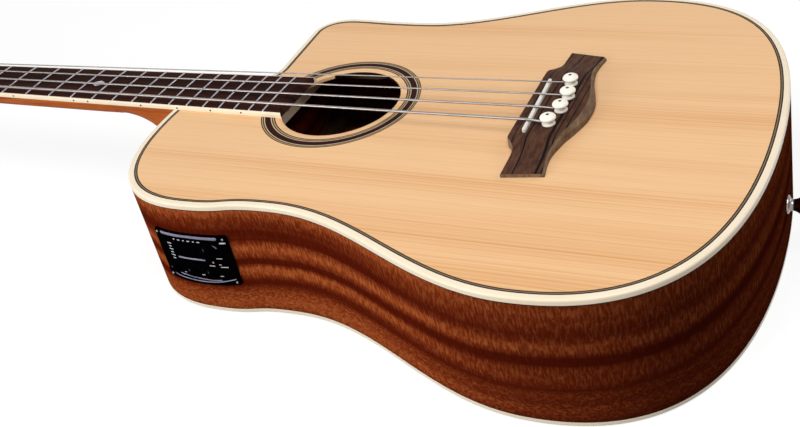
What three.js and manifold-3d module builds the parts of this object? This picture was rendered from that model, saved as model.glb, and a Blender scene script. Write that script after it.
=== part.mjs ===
import * as THREE from 'three';
import { mergeVertices } from 'three/addons/utils/BufferGeometryUtils.js';
import Module from 'manifold-3d';

// A four-string acoustic bass guitar with a cutaway, lying on its back.
// Lengths are millimetres. While it is built, x runs from the nut to the tail, y to the treble side
// and z up from the soundboard's upper face; the last lines turn it until the back lies level.

// Scale, fingerboard and frets
const scaleLength = 864;
const fretCount = 22;
const fretsPerOctave = 12;
const boardWidthAtNut = 38.9;
const boardWidthAtLastFret = 58.2;
const boardEdgeHeight = 4;
const boardCrown = 0.8;
const boardBindingWidth = 1.5;
const fretWidth = 2.4;
const fretHeight = 1.1;
const fretTangWidth = 0.6;
const fretTangDepth = 2.6;
const fretSpineWidth = 3;
const action = 0.5;
const neckAngle = 0.3;

// Body outline
const neckJoinX = 525.5;
const bodyLength = 527;
const upperBoutHalf = 155.5;
const waistHalf = 147.2;
const lowerBoutHalf = 208;
const hornHalf = 150.5;
const cutawayX = 592;
const depthAtNeck = 105;
const depthAtTail = 112;

// Plates, sides and trim
const topThickness = 3.2;
const backThickness = 3;
const sideThickness = 2.2;
const bindingWidth = 5;
const topBindingHeight = 4.4;
const backBindingHeight = 4;
const purflingWidth = 2.6;
const purflingDepth = 1.4;
const liningWidth = 6;
const liningHeight = 12;
const seam = 0.2;
const overrun = 3;

// Soundhole and rosette
const soundholeX = 682.4;
const soundholeRadius = 51.7;
const rosetteInner = 57.3;
const rosetteOuter = 69.6;
const rosetteDepth = 1.2;

// Blocks and braces
const neckBlockLength = 58;
const neckBlockBassHalf = 38;
const tailBlockLength = 20;
const tailBlockHalf = 48;
const transverseBraceX = 620;
const transverseBraceWidth = 10;
const transverseBraceHeight = 17.5;
const transverseBraceHalfSpan = 126;
const braceTaperShare = 0.3;
const braceWidth = 8;
const braceHeight = 14;
const braceTaper = 36;
const braceTip = 4;
const xBraceCentreX = 768;
const xBraceAngle = 47;
const xBraceFore = 178;
const backBraceWidth = 10;
const backBraceHeight = 12;
const backStripWidth = 16;
const backStripHeight = 2.5;
const bridgePlateThickness = 2.8;
const bridgePlateHalf = 62;

// Neck, heel and truss rod
const neckDepthAtNut = 16.4;
const neckDepthAtHeel = 18.6;
const heelStartX = 452;
const heelDepth = 92;
const heelHalfAtCap = 13;
const heelCapThickness = 3;
const tenonLength = 20;
const tenonHalf = 16;
const tenonBottom = 84;
const trussRodWidth = 6;
const trussRodHeight = 7;
const trussRodAxisDepth = 8.6;
const trussNutRadius = 4.2;
const trussNutLength = 12;
const trussSocketRadius = 2.4;
const trussSocketDepth = 7;
const trussAccessRadius = 5;

// Headstock and tuners
const nutThickness = 5;
const nutHeight = 8.4;
const headAngle = 14;
const headLength = 196;
const headHalf = 39;
const headThickness = 15;
const veneerThickness = 1.5;
const headDrop = 0.4;
const postRadius = 4.5;
const postHeight = 17;
const nearPostAlong = 60;
const farPostAlong = 132;
const nearPostSide = 25;
const farPostSide = 25;
const bushingRadius = 7.5;
const bushingHeight = 2.4;
const sleeveWall = 1.2;
const runningGap = 0.3;
const housingDepth = 14;
const housingWall = 2;
const wheelTeeth = 16;
const wheelPitchRadius = 6;
const wheelThickness = 3;
const wormPitchRadius = 2.8;
const toothHeight = 1.1;
const keyShaftRadius = 2.2;
const keyLength = 25;
const keyHalfWidth = 12;
const keyHalfThickness = 4.2;

// Strings, from the lowest to the highest
const stringNames = ['e', 'a', 'd', 'g'];
const stringRadii = [1.27, 1.02, 0.83, 0.57];
const stringSpreadAtNut = 34.5;
const stringSpreadAtSaddle = 57.6;
const ballRadius = 2.5;
const ballLength = 5;
const windingTurns = 2;
const windingGap = 0.6;

// Bridge, saddle and pins
const bridgeX = 861.6;
const bridgeSideShift = 3.2;
const bridgeHalfLength = 90.3;
const bridgeHeight = 9;
const bridgeWingHeight = 3.2;
const bridgeWingDepth = 32.6;
const bridgeFrontStep = 8.2;
const bridgeBelly = 11.8;
const bridgeBevelWidth = 5;
const bridgeBevelDrop = 4.4;
const saddleX = 863.6;
const saddleSideShift = -2.2;
const saddleLength = 76;
const saddleThickness = 3.2;
const saddleTop = 12.2;
const saddleSlotDepth = 5;
const saddleSlant = 2;
const pickupThickness = 1;
const pinArcX = 884.9;
const pinArcBow = 4.2;
const pinSpread = 59.4;
const pinShaftRadius = 3.7;
const pinTipRadius = 3;
const pinLength = 24;
const pinCollarRadius = 5.2;
const pinCollarHeight = 1.8;
const pinNeckHeight = 3.9;
const pinHeadRadius = 6.4;
const pinHeadHeight = 4.8;
const pinStringOffset = 3.4;
const pinFluteRadius = 1.75;
const stringBendRadius = 2;

// End pin with its jack barrel
const endPinDepth = 68;
const endPinBarrelRadius = 6;
const endPinBarrelLength = 34;
const endPinLength = 13;
const endPinBaseRadius = 7;
const endPinNeckRadius = 4.6;
const endPinRimRadius = 7.3;
const endPinBoreRadius = 3.2;

// Preamp in the bass side
const panelX = 620.2;
const panelLength = 69;
const panelTop = 27.4;
const panelHeight = 50;
const panelThickness = 2;
const panelMargin = 4.5;
const housingReach = 38;
const displayOffsetX = -4.5;
const displayLength = 29;
const displayHeight = 19;
const displayDepth = 16.5;
const displayThickness = 2.4;
const volumeKnobRadius = 5.5;
const volumeKnobHeight = 6;
const toneKnobRadius = 4;
const toneKnobHeight = 2.6;
const knobStemRadius = 2.2;
const knobStemLength = 7;
const knobStandOff = 0.5;
const buttonRadius = 2.1;
const buttonHeight = 1.2;
const buttonTravel = 0.8;

// Mesh fineness
const curveSteps = 6;
const holeSteps = 28;
const roundSteps = 14;
const smallSteps = 9;
const controlSteps = 12;
const wireSides = 6;
const stepsPerTurn = 24;

// Values worked out from the driving dimensions
const degrees = Math.PI / 180;
const bodyTailX = neckJoinX + bodyLength;
const boardTaper = (boardWidthAtLastFret - boardWidthAtNut) / fretX(fretCount);
const boardTop = seam + boardEdgeHeight + boardCrown;
const fretTop = boardTop + fretHeight;
const backSlope = (depthAtTail - depthAtNeck) / bodyLength;
const headFaceZ = neckLine(0) - headDrop;

function fretX(number) {
  return scaleLength * (1 - 2 ** (-number / fretsPerOctave));
}

function boardHalf(x) {
  return (boardWidthAtNut + boardTaper * x) / 2;
}

// The neck leans back: how far a line along it has risen over its height at the joint
function neckLine(x) {
  return (x - neckJoinX) * Math.tan(neckAngle * degrees);
}

function boardEdgeZ(x) {
  return seam + boardEdgeHeight + neckLine(x);
}

// Height of the crowned fingerboard over its width
function crownZ(x, y) {
  const share = y / boardHalf(x);
  return boardEdgeZ(x) + boardCrown * (1 - share * share);
}

// The board's underside follows the neck, and lies flat on the soundboard
function boardBase(x) {
  return seam + Math.min(neckLine(x), 0);
}

// Depth of the back's lower face under the soundboard's upper face, as a height
function backZ(x) {
  return -depthAtNeck - (x - neckJoinX) * backSlope;
}

// Closed meshes and booleans
const wasm = await Module();
wasm.setup();

function vector(x, y, z) {
  return new THREE.Vector3(x, y, z);
}

function flat(x, y) {
  return new THREE.Vector2(x, y);
}

// Turns a mesh inside out if its signed volume is negative
function faceOutward(geometry) {
  const p = geometry.attributes.position;
  const index = Array.from(geometry.index.array);
  const a = vector(0, 0, 0);
  const b = vector(0, 0, 0);
  const c = vector(0, 0, 0);
  let volume = 0;
  for (let i = 0; i < index.length; i += 3) {
    a.fromBufferAttribute(p, index[i]);
    b.fromBufferAttribute(p, index[i + 1]);
    c.fromBufferAttribute(p, index[i + 2]);
    volume += a.dot(b.cross(c));
  }
  if (volume < 0) {
    for (let i = 0; i < index.length; i += 3) {
      [index[i + 1], index[i + 2]] = [index[i + 2], index[i + 1]];
    }
    geometry.setIndex(index);
  }
  return geometry;
}

function meshFrom(points, index) {
  const geometry = new THREE.BufferGeometry().setFromPoints(points);
  geometry.setIndex(index);
  return faceOutward(geometry);
}

// Two axes in the plane of a loop of points, for filling its cap
function planeOf(loop) {
  const normal = vector(0, 0, 0);
  const centre = vector(0, 0, 0);
  for (const point of loop) centre.add(point);
  centre.divideScalar(loop.length);
  loop.forEach((point, i) => {
    const next = loop[(i + 1) % loop.length];
    normal.add(point.clone().sub(centre).cross(next.clone().sub(centre)));
  });
  normal.normalize();
  const across = loop[1].clone().sub(loop[0]);
  across.addScaledVector(normal, -across.dot(normal)).normalize();
  return { centre, across, up: normal.clone().cross(across) };
}

// A skin over loops with the same number of points: capped at both ends, or joined into a ring
function loft(loops, ring = false) {
  const count = loops[0].length;
  const points = loops.flat();
  const index = [];
  const last = ring ? loops.length : loops.length - 1;
  for (let i = 0; i < last; i++) {
    const here = i * count;
    const there = ((i + 1) % loops.length) * count;
    for (let j = 0; j < count; j++) {
      const k = (j + 1) % count;
      index.push(here + j, here + k, there + k, here + j, there + k, there + j);
    }
  }
  if (!ring) {
    [0, loops.length - 1].forEach((end) => {
      const plane = planeOf(loops[end]);
      const outline = loops[end].map((point) => {
        const away = point.clone().sub(plane.centre);
        return flat(away.dot(plane.across), away.dot(plane.up));
      });
      for (const face of THREE.ShapeUtils.triangulateShape(outline, [])) {
        const [a, b, c] = face.map((corner) => corner + end * count);
        if (end === 0) index.push(a, c, b);
        else index.push(a, b, c);
      }
    });
  }
  return meshFrom(points, index);
}

// A plate between two heights that may change over it, with holes
function plate(outline, holes, top, bottom) {
  const rings = [outline, ...holes];
  const all = rings.flat();
  const points = [
    ...all.map((p) => vector(p.x, p.y, top(p.x, p.y))),
    ...all.map((p) => vector(p.x, p.y, bottom(p.x, p.y))),
  ];
  const index = [];
  for (const [a, b, c] of THREE.ShapeUtils.triangulateShape(outline, holes)) {
    index.push(a, b, c, a + all.length, c + all.length, b + all.length);
  }
  let start = 0;
  rings.forEach((loop, number) => {
    const turn = THREE.ShapeUtils.isClockWise(loop) === (number === 0) ? 1 : -1;
    loop.forEach((point, i) => {
      const a = start + i;
      const b = start + (i + 1) % loop.length;
      const [p, q] = turn > 0 ? [a, b] : [b, a];
      index.push(p, q, q + all.length, p, q + all.length, p + all.length);
    });
    start += loop.length;
  });
  return meshFrom(points, index);
}

function level(z) {
  return () => z;
}

// A closed ring between two offsets of the body outline
function ringBand(outerInset, innerInset, top, bottom) {
  const outer = insetOutline(outerInset);
  const inner = insetOutline(innerInset);
  return loft(outer.map((p, i) => {
    const q = inner[i];
    return [
      vector(p.x, p.y, top(p.x)),
      vector(q.x, q.y, top(q.x)),
      vector(q.x, q.y, bottom(q.x)),
      vector(p.x, p.y, bottom(p.x)),
    ];
  }), true);
}

// A round bar through points, with a radius at each point
function sweep(points, radii, sides = wireSides) {
  const loops = [];
  const side = vector(0, 1, 0);
  points.forEach((point, i) => {
    const before = points[Math.max(i - 1, 0)];
    const after = points[Math.min(i + 1, points.length - 1)];
    const along = after.clone().sub(before).normalize();
    side.addScaledVector(along, -side.dot(along)).normalize();
    const up = along.clone().cross(side);
    loops.push(Array.from({ length: sides }, (_, j) => {
      const turn = 2 * Math.PI * j / sides;
      return point.clone()
        .addScaledVector(side, radii[i] * Math.cos(turn))
        .addScaledVector(up, radii[i] * Math.sin(turn));
    }));
  });
  return loft(loops);
}

function box(x0, x1, y0, y1, z0, z1) {
  const geometry = new THREE.BoxGeometry(x1 - x0, y1 - y0, z1 - z0);
  return geometry.translate((x0 + x1) / 2, (y0 + y1) / 2, (z0 + z1) / 2);
}

// A cylinder from one point along an axis
function rod(from, to, radius, sides = smallSteps) {
  const length = from.distanceTo(to);
  const geometry = new THREE.CylinderGeometry(radius, radius, length, sides);
  const turn = new THREE.Quaternion().setFromUnitVectors(vector(0, 1, 0), to.clone().sub(from).normalize());
  geometry.applyQuaternion(turn);
  const middle = from.clone().add(to).divideScalar(2);
  return geometry.translate(middle.x, middle.y, middle.z);
}

// A turned piece about the z axis, from radius and height pairs
function turned(profile, sides = roundSteps) {
  return new THREE.LatheGeometry(profile.map(([r, z]) => flat(r, z)), sides).rotateX(Math.PI / 2);
}

function asSolid(geometry) {
  const bare = new THREE.BufferGeometry();
  bare.setAttribute('position', geometry.attributes.position.clone());
  bare.setIndex(geometry.index ? geometry.index.clone() : null);
  const merged = mergeVertices(bare);
  const triVerts = [];
  const index = merged.index.array;
  for (let i = 0; i < index.length; i += 3) {
    const [a, b, c] = [index[i], index[i + 1], index[i + 2]];
    if (a !== b && b !== c && c !== a) triVerts.push(a, b, c);
  }
  return new wasm.Manifold(new wasm.Mesh({
    numProp: 3,
    vertProperties: new Float32Array(merged.attributes.position.array),
    triVerts: new Uint32Array(triVerts),
  }));
}

function asGeometry(solid) {
  const mesh = solid.getMesh();
  const geometry = new THREE.BufferGeometry();
  geometry.setAttribute('position', new THREE.Float32BufferAttribute(mesh.vertProperties, 3));
  geometry.setIndex(Array.from(mesh.triVerts));
  return geometry;
}

function cut(geometry, tools) {
  let solid = asSolid(geometry);
  for (const tool of tools) solid = solid.subtract(asSolid(tool));
  return asGeometry(solid);
}

function join(geometries) {
  let solid = asSolid(geometries[0]);
  for (const other of geometries.slice(1)) solid = solid.add(asSolid(other));
  return asGeometry(solid);
}

function keepWithin(geometry, tool) {
  return asGeometry(asSolid(geometry).intersect(asSolid(tool)));
}

// Body outline, from the neck joint along the bass side, round the tail and back to the cutaway
const shoulderShare = 0.176;
const waistShare = 0.327;
const lowerShare = 0.7245;
const shoulderX = neckJoinX + shoulderShare * bodyLength;
const waistX = neckJoinX + waistShare * bodyLength;
const lowerX = neckJoinX + lowerShare * bodyLength;
const shoulderHandleShares = [0.625, 0.54];
const upperHandleShares = [0.585, 0.625];
const lowerHandleShares = [0.354, 0.368];
const tailHandleShares = [0.624, 0.75];
const hornX = shoulderX + 0.005 * bodyLength;
const hornHandleShare = 0.6;
const hornSideShare = 0.81;
const cutawayLeanShare = 0.045;
const nookHandleShare = 0.45;
const mitreLimitShare = 0.5;
const cutawaySideClearance = 0.6;
const cutawayFilletLong = 20;
const cutawayFilletShort = 17;

function curvePoints(from, fromHandle, toHandle, to, steps = curveSteps) {
  return new THREE.CubicBezierCurve(from, fromHandle, toHandle, to).getPoints(steps).slice(0, -1);
}

const boardSideAtJoin = boardHalf(neckJoinX) + boardBindingWidth + seam;

function bodyOutline() {
  const front = flat(neckJoinX, -boardSideAtJoin);
  const shoulder = flat(shoulderX, -upperBoutHalf);
  const waist = flat(waistX, -waistHalf);
  const lower = flat(lowerX, -lowerBoutHalf);
  const tail = flat(bodyTailX, 0);
  const toShoulder = [
    flat(neckJoinX, -boardSideAtJoin - shoulderHandleShares[0] * upperBoutHalf),
    flat(shoulderX - shoulderHandleShares[1] * (shoulderX - neckJoinX), -upperBoutHalf),
  ];
  const toWaist = [
    flat(shoulderX + upperHandleShares[0] * (waistX - shoulderX), -upperBoutHalf),
    flat(waistX - upperHandleShares[1] * (waistX - shoulderX), -waistHalf),
  ];
  const toLower = [
    flat(waistX + lowerHandleShares[0] * (lowerX - waistX), -waistHalf),
    flat(lowerX - lowerHandleShares[1] * (lowerX - waistX), -lowerBoutHalf),
  ];
  const toTail = [
    flat(lowerX + tailHandleShares[0] * (bodyTailX - lowerX), -lowerBoutHalf),
    flat(bodyTailX, -tailHandleShares[1] * lowerBoutHalf),
  ];
  const mirrored = (p) => flat(p.x, -p.y);
  const horn = flat(hornX, hornHalf);
  const hornSide = flat(cutawayX - cutawayLeanShare * (hornHalf - boardSideAtJoin), hornSideShare * hornHalf);
  const nook = flat(cutawayX, boardSideAtJoin + cutawayFilletLong);
  const besideBoard = flat(
    cutawayX - cutawayFilletShort,
    boardHalf(cutawayX) + boardBindingWidth + cutawaySideClearance,
  );
  const trebleFront = flat(neckJoinX, boardSideAtJoin);
  return [
    flat(neckJoinX, 0),
    ...curvePoints(front, ...toShoulder, shoulder),
    ...curvePoints(shoulder, ...toWaist, waist),
    ...curvePoints(waist, ...toLower, lower),
    ...curvePoints(lower, ...toTail, tail),
    ...curvePoints(tail, mirrored(toTail[1]), mirrored(toTail[0]), mirrored(lower)),
    ...curvePoints(mirrored(lower), mirrored(toLower[1]), mirrored(toLower[0]), mirrored(waist)),
    ...curvePoints(
      mirrored(waist),
      flat(waistX - upperHandleShares[1] * (waistX - hornX), waistHalf),
      flat(hornX + upperHandleShares[0] * (waistX - hornX) / 2, hornHalf),
      horn,
    ),
    ...curvePoints(
      horn,
      flat(hornX - hornHandleShare * (hornX - hornSide.x), hornHalf),
      flat(hornSide.x, hornSide.y + hornHandleShare * (hornHalf - hornSide.y)),
      hornSide,
      curveSteps - 2,
    ),
    hornSide,
    ...curvePoints(
      nook,
      flat(cutawayX, nook.y - cutawayFilletLong * nookHandleShare),
      flat(cutawayX - cutawayFilletShort * nookHandleShare, besideBoard.y),
      besideBoard,
      curveSteps - 4,
    ),
    besideBoard,
    trebleFront,
  ];
}

// The outline moved inwards, each point along the mean normal of its two edges
function insetOutline(distance) {
  const points = bodyOutline();
  return points.map((point, i) => {
    const before = points[(i + points.length - 1) % points.length];
    const after = points[(i + 1) % points.length];
    const a = point.clone().sub(before).normalize();
    const b = after.clone().sub(point).normalize();
    const normal = flat(-(a.y + b.y), a.x + b.x).normalize();
    const stretch = Math.max(normal.dot(flat(-a.y, a.x)), mitreLimitShare);
    return point.clone().addScaledVector(normal, distance / stretch);
  });
}

function circle(x, y, radius, steps) {
  return Array.from({ length: steps }, (_, i) => {
    const turn = 2 * Math.PI * i / steps;
    return flat(x + radius * Math.cos(turn), y + radius * Math.sin(turn));
  });
}

// A flat ring round the soundhole's centre
function soundholeRing(inner, outer, top, bottom) {
  return plate(
    circle(soundholeX, 0, outer, holeSteps),
    [circle(soundholeX, 0, inner, holeSteps)],
    level(top),
    level(bottom),
  );
}

// Places of the strings, pins and controls
const lastString = stringNames.length - 1;

function stringY(number, spread) {
  return spread * (number / lastString - 1 / 2);
}

function saddleXAt(y) {
  return saddleX - (y - saddleSideShift) * Math.tan(saddleSlant * degrees);
}

function pinPlace(number) {
  const y = stringY(number, pinSpread);
  const bow = 2 * y / pinSpread;
  return flat(pinArcX - pinArcBow * bow * bow, bridgeSideShift + y);
}

const pinHoleClearance = 0.4;
const pinHoleSides = 8;

// The pin holes in the bridge, with the slots in front of them that the strings drop through
function pinPassages() {
  const high = bridgeHeight + overrun;
  const low = -overrun;
  return stringNames.flatMap((_, i) => {
    const pin = pinPlace(i);
    const slotX = pin.x - pinStringOffset;
    return [
      rod(vector(pin.x, pin.y, high), vector(pin.x, pin.y, low), pinShaftRadius + pinHoleClearance, pinHoleSides),
      rod(vector(slotX, pin.y, high), vector(slotX, pin.y, low), pinFluteRadius, pinHoleSides),
    ];
  });
}

// One hole under each pin, wide enough for the string beside it
function pinBores() {
  const front = pinStringOffset + pinFluteRadius;
  const radius = (pinShaftRadius + front) / 2 + 2 * pinHoleClearance;
  return stringNames.map((_, i) => {
    const pin = pinPlace(i);
    const x = pin.x + (pinShaftRadius - front) / 2;
    const low = -topThickness - bridgePlateThickness - overrun;
    return rod(vector(x, pin.y, overrun), vector(x, pin.y, low), radius, pinHoleSides);
  });
}

const neckHalfInset = 0.3;

function neckHalf(x) {
  return boardHalf(x) + boardBindingWidth - neckHalfInset;
}

// Tools that several pieces are cut with
function topBindingRoom() {
  return ringBand(-overrun, bindingWidth + seam, level(overrun), level(-topBindingHeight - seam));
}

function backBindingRoom() {
  const top = (x) => backZ(x) + backBindingHeight + seam;
  return ringBand(-overrun, bindingWidth + seam, top, (x) => backZ(x) - overrun);
}

const trussRodEnd = transverseBraceX - transverseBraceWidth / 2 - 2 * overrun - trussNutLength;

function trussRoom() {
  const half = trussRodWidth / 2 + seam;
  const low = -trussRodAxisDepth - trussRodHeight / 2 - seam;
  return box(overrun, trussRodEnd + overrun, -half, half, low, -low);
}

function tenonRoom() {
  const half = tenonHalf + seam;
  const high = -topBindingHeight + seam;
  return box(neckJoinX - overrun, neckJoinX + tenonLength + seam, -half, half, -tenonBottom - seam, high);
}

// Preamp panel, housing and controls
const panelLow = -panelTop - panelHeight;
const panelStart = panelX - panelLength / 2;
const panelEnd = panelX + panelLength / 2;
const housingStart = panelStart + panelMargin;
const housingEnd = panelEnd - panelMargin;
const housingTop = -panelTop - panelMargin;
const housingLow = panelLow + panelMargin;

// Distance of the bass side's outer face from the centre line
function bassSideY(x) {
  const points = bodyOutline().filter((p) => p.y < 0 && p.x < lowerX);
  const after = points.findIndex((p) => p.x > x);
  const [a, b] = [points[after - 1], points[after]];
  return -(a.y + (b.y - a.y) * (x - a.x) / (b.x - a.x));
}

// A plate that follows the facets of the bass side between two distances from its outer face
function sideSkin(start, end, top, low, outside, inside) {
  const corners = bodyOutline().filter((p) => p.y < 0 && p.x > start && p.x < end).map((p) => p.x);
  return loft([start, ...corners, end].map((x) => {
    const out = -outside(x);
    const back = -inside(x);
    return [vector(x, out, top), vector(x, back, top), vector(x, back, low), vector(x, out, low)];
  }));
}

const controlInset = 11;
const volumePlace = {
  x: panelEnd - controlInset - volumeKnobRadius,
  z: -panelTop - controlInset - 1.4 * seam,
  radius: volumeKnobRadius,
};
const notchPlace = {
  x: volumePlace.x,
  z: volumePlace.z - volumeKnobRadius - controlInset + overrun,
  radius: 0,
};
const toneRowZ = panelLow + controlInset + overrun;
const tonePitch = 18;
const tonePlaces = ['bass', 'middle', 'treble'].map((name, i) => (
  { name, x: panelX + (i - 1) * tonePitch - 2 * overrun, z: toneRowZ, radius: toneKnobRadius }
));
function panelFace(x) {
  return bassSideY(x) + seam + panelThickness;
}

// How far out a control's origin lies: at the highest face under it
function controlFace(place) {
  return Math.max(...[-place.radius, 0, place.radius].map((step) => panelFace(place.x + step)));
}

function controlHole(place, radius, depth) {
  const face = controlFace(place);
  return rod(vector(place.x, -face - overrun, place.z), vector(place.x, -face + depth, place.z), radius);
}

const controlHoleDepth = panelThickness + knobStemLength;
const knobHoleRadius = knobStemRadius + runningGap;
const buttonHoleRadius = buttonRadius + runningGap;

function controlHoles() {
  return [
    controlHole(volumePlace, knobHoleRadius, controlHoleDepth),
    ...tonePlaces.map((place) => controlHole(place, knobHoleRadius, controlHoleDepth)),
    controlHole(notchPlace, buttonHoleRadius, controlHoleDepth),
  ];
}

const displayX = panelX + displayOffsetX;

function displayRoom(gap) {
  const face = panelFace(displayX);
  const x = [displayX - displayLength / 2 - gap, displayX + displayLength / 2 + gap];
  const z = [-panelTop - displayDepth - displayHeight / 2 - gap, -panelTop - displayDepth + displayHeight / 2 + gap];
  return { x, z, face };
}

// The body
function soundboard() {
  const board = plate(
    insetOutline(bindingWidth + seam),
    [circle(soundholeX, 0, soundholeRadius, holeSteps)],
    level(0),
    level(-topThickness),
  );
  const purflingInner = bindingWidth + purflingWidth + 2 * seam;
  return cut(board, [
    ringBand(bindingWidth - overrun, purflingInner, level(overrun), level(-purflingDepth - seam)),
    soundholeRing(rosetteInner - seam, rosetteOuter + seam, overrun, -rosetteDepth - seam),
    ...pinBores(),
  ]);
}

function topPurfling() {
  const outer = bindingWidth + seam;
  return ringBand(outer, outer + purflingWidth, level(0), level(-purflingDepth));
}

function rosette() {
  return soundholeRing(rosetteInner, rosetteOuter, 0, -rosetteDepth);
}

function topBinding() {
  return cut(ringBand(0, bindingWidth, level(0), level(-topBindingHeight)), [trussRoom()]);
}

function backBinding() {
  return ringBand(0, bindingWidth, (x) => backZ(x) + backBindingHeight, backZ);
}

function backPlate() {
  return plate(insetOutline(bindingWidth + seam), [], (x) => backZ(x) + backThickness, backZ);
}

const rimClearance = 0.4;

// One half of the bent sides: the bass half lies at negative y
function sideHalf(sign) {
  const band = ringBand(0, sideThickness, level(-topBindingHeight - seam), (x) => (
    backZ(x) + backBindingHeight + seam
  ));
  const farY = sign * 2 * lowerBoutHalf;
  const nearY = sign * seam / 2;
  const half = box(
    neckJoinX - overrun,
    bodyTailX + overrun,
    Math.min(nearY, farY),
    Math.max(nearY, farY),
    -2 * depthAtTail,
    overrun,
  );
  const opening = box(
    housingStart - rimClearance,
    housingEnd + rimClearance,
    -upperBoutHalf - overrun,
    -waistHalf / 2,
    housingLow - rimClearance,
    housingTop + rimClearance,
  );
  return cut(keepWithin(band, half), [tenonRoom(), endPinRoom(), opening]);
}

function endPinRoom() {
  const start = vector(bodyTailX - endPinBarrelLength, 0, -endPinDepth);
  return rod(start, vector(bodyTailX + overrun, 0, -endPinDepth), endPinBarrelRadius + runningGap, roundSteps);
}

function neckBlockRoom(gap) {
  const end = neckJoinX + neckBlockLength + gap;
  const far = boardSideAtJoin + gap;
  return box(neckJoinX - overrun, end, -neckBlockBassHalf - gap, far, -2 * depthAtTail, 0);
}

function tailBlockRoom(gap) {
  const start = bodyTailX - tailBlockLength - gap;
  return box(start, bodyTailX + overrun, -tailBlockHalf - gap, tailBlockHalf + gap, -2 * depthAtTail, 0);
}

function blockIn(room, extraCuts) {
  const core = plate(
    insetOutline(sideThickness + seam),
    [],
    level(-topThickness - seam),
    (x) => backZ(x) + backThickness + seam,
  );
  return cut(keepWithin(core, room), [topBindingRoom(), backBindingRoom(), ...extraCuts]);
}

function neckBlock() {
  return blockIn(neckBlockRoom(0), [tenonRoom(), trussRoom()]);
}

function tailBlock() {
  const inner = sideThickness + liningWidth + 2 * seam;
  const high = -topThickness - liningHeight - 2 * seam;
  const low = (x) => backZ(x) + backThickness + liningHeight + 2 * seam;
  return blockIn(tailBlockRoom(0), [
    endPinRoom(),
    ringBand(0, inner, level(overrun), level(high)),
    ringBand(0, inner, low, (x) => backZ(x) - overrun),
  ]);
}

// Glued strips that widen the seams between the sides and a plate
function lining(top, bottom) {
  const outer = sideThickness + seam;
  return cut(ringBand(outer, outer + liningWidth, top, bottom), [
    topBindingRoom(),
    backBindingRoom(),
    neckBlockRoom(seam),
    tenonRoom(),
  ]);
}

function topLining() {
  const high = -topThickness - seam;
  return lining(level(high), level(high - liningHeight));
}

function backLining() {
  const low = (x) => backZ(x) + backThickness + seam;
  return lining((x) => low(x) + liningHeight, low);
}

// A bar glued under the soundboard: tapered at both ends, turned about its own centre
function bar(centre, angle, fore, aft, width, height) {
  const high = -topThickness - seam;
  const taper = Math.min(braceTaper, braceTaperShare * (fore + aft));
  const profile = [
    flat(-aft, high),
    flat(fore, high),
    flat(fore, high - braceTip),
    flat(fore - taper, high - height),
    flat(-aft + taper, high - height),
    flat(-aft, high - braceTip),
  ];
  const loops = [-width / 2, width / 2].map((side) => profile.map((p) => vector(p.x, side, p.y)));
  return loft(loops).rotateZ(angle * degrees).translate(centre.x, centre.y, 0);
}

function transverseBrace() {
  const span = transverseBraceHalfSpan;
  const brace = bar(
    flat(transverseBraceX, 0),
    90,
    span - overrun,
    span + overrun,
    transverseBraceWidth,
    transverseBraceHeight,
  );
  const half = transverseBraceWidth;
  const start = vector(transverseBraceX - half, 0, -trussRodAxisDepth);
  const end = vector(transverseBraceX + half, 0, -trussRodAxisDepth);
  return cut(brace, [rod(start, end, trussAccessRadius, smallSteps)]);
}

// Where the bass leg of the X ends and the tone bars start on it, as shares of its way from the bridge plate to the lining
const legEndShare = 0.7393;
const toneBarStartShares = [0.0302, 0.6254];
// Where the tone bars end, as shares of the room behind the bridge plate and of half the lower bout
const toneBarEndShares = [0.5543, 0.8391];
const toneBarEndHalfShares = [0.3852, 0.321];
const fingerBarXShares = [0.52, 0.6];
const fingerBarLengths = [108, 86];
const fingerBarHeight = 8;
const holeBarGap = 4;

// How far from the centre line a crossed brace lies at x
function legY(x) {
  return Math.abs(x - xBraceCentreX) * Math.tan(xBraceAngle * degrees);
}

// The place behind the crossing where the bass leg would meet the lining
function legAtLining() {
  const rim = insetOutline(sideThickness + liningWidth + 2 * seam);
  const beyond = (p) => legY(p.x) + p.y;
  const i = rim.findIndex((p, k) => {
    const next = rim[(k + 1) % rim.length];
    return p.x > xBraceCentreX && p.y < 0 && beyond(p) <= 0 && beyond(next) > 0;
  });
  const [p, q] = [rim[i], rim[(i + 1) % rim.length]];
  return p.x + (q.x - p.x) * beyond(p) / (beyond(p) - beyond(q));
}

// A bar between two places under the soundboard, which starts a little before the first
function barBetween(start, end, width, height) {
  const angle = Math.atan2(end.y - start.y, end.x - start.x) / degrees;
  return bar(start, angle, Math.hypot(end.x - start.x, end.y - start.y), overrun, width, height);
}

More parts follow.
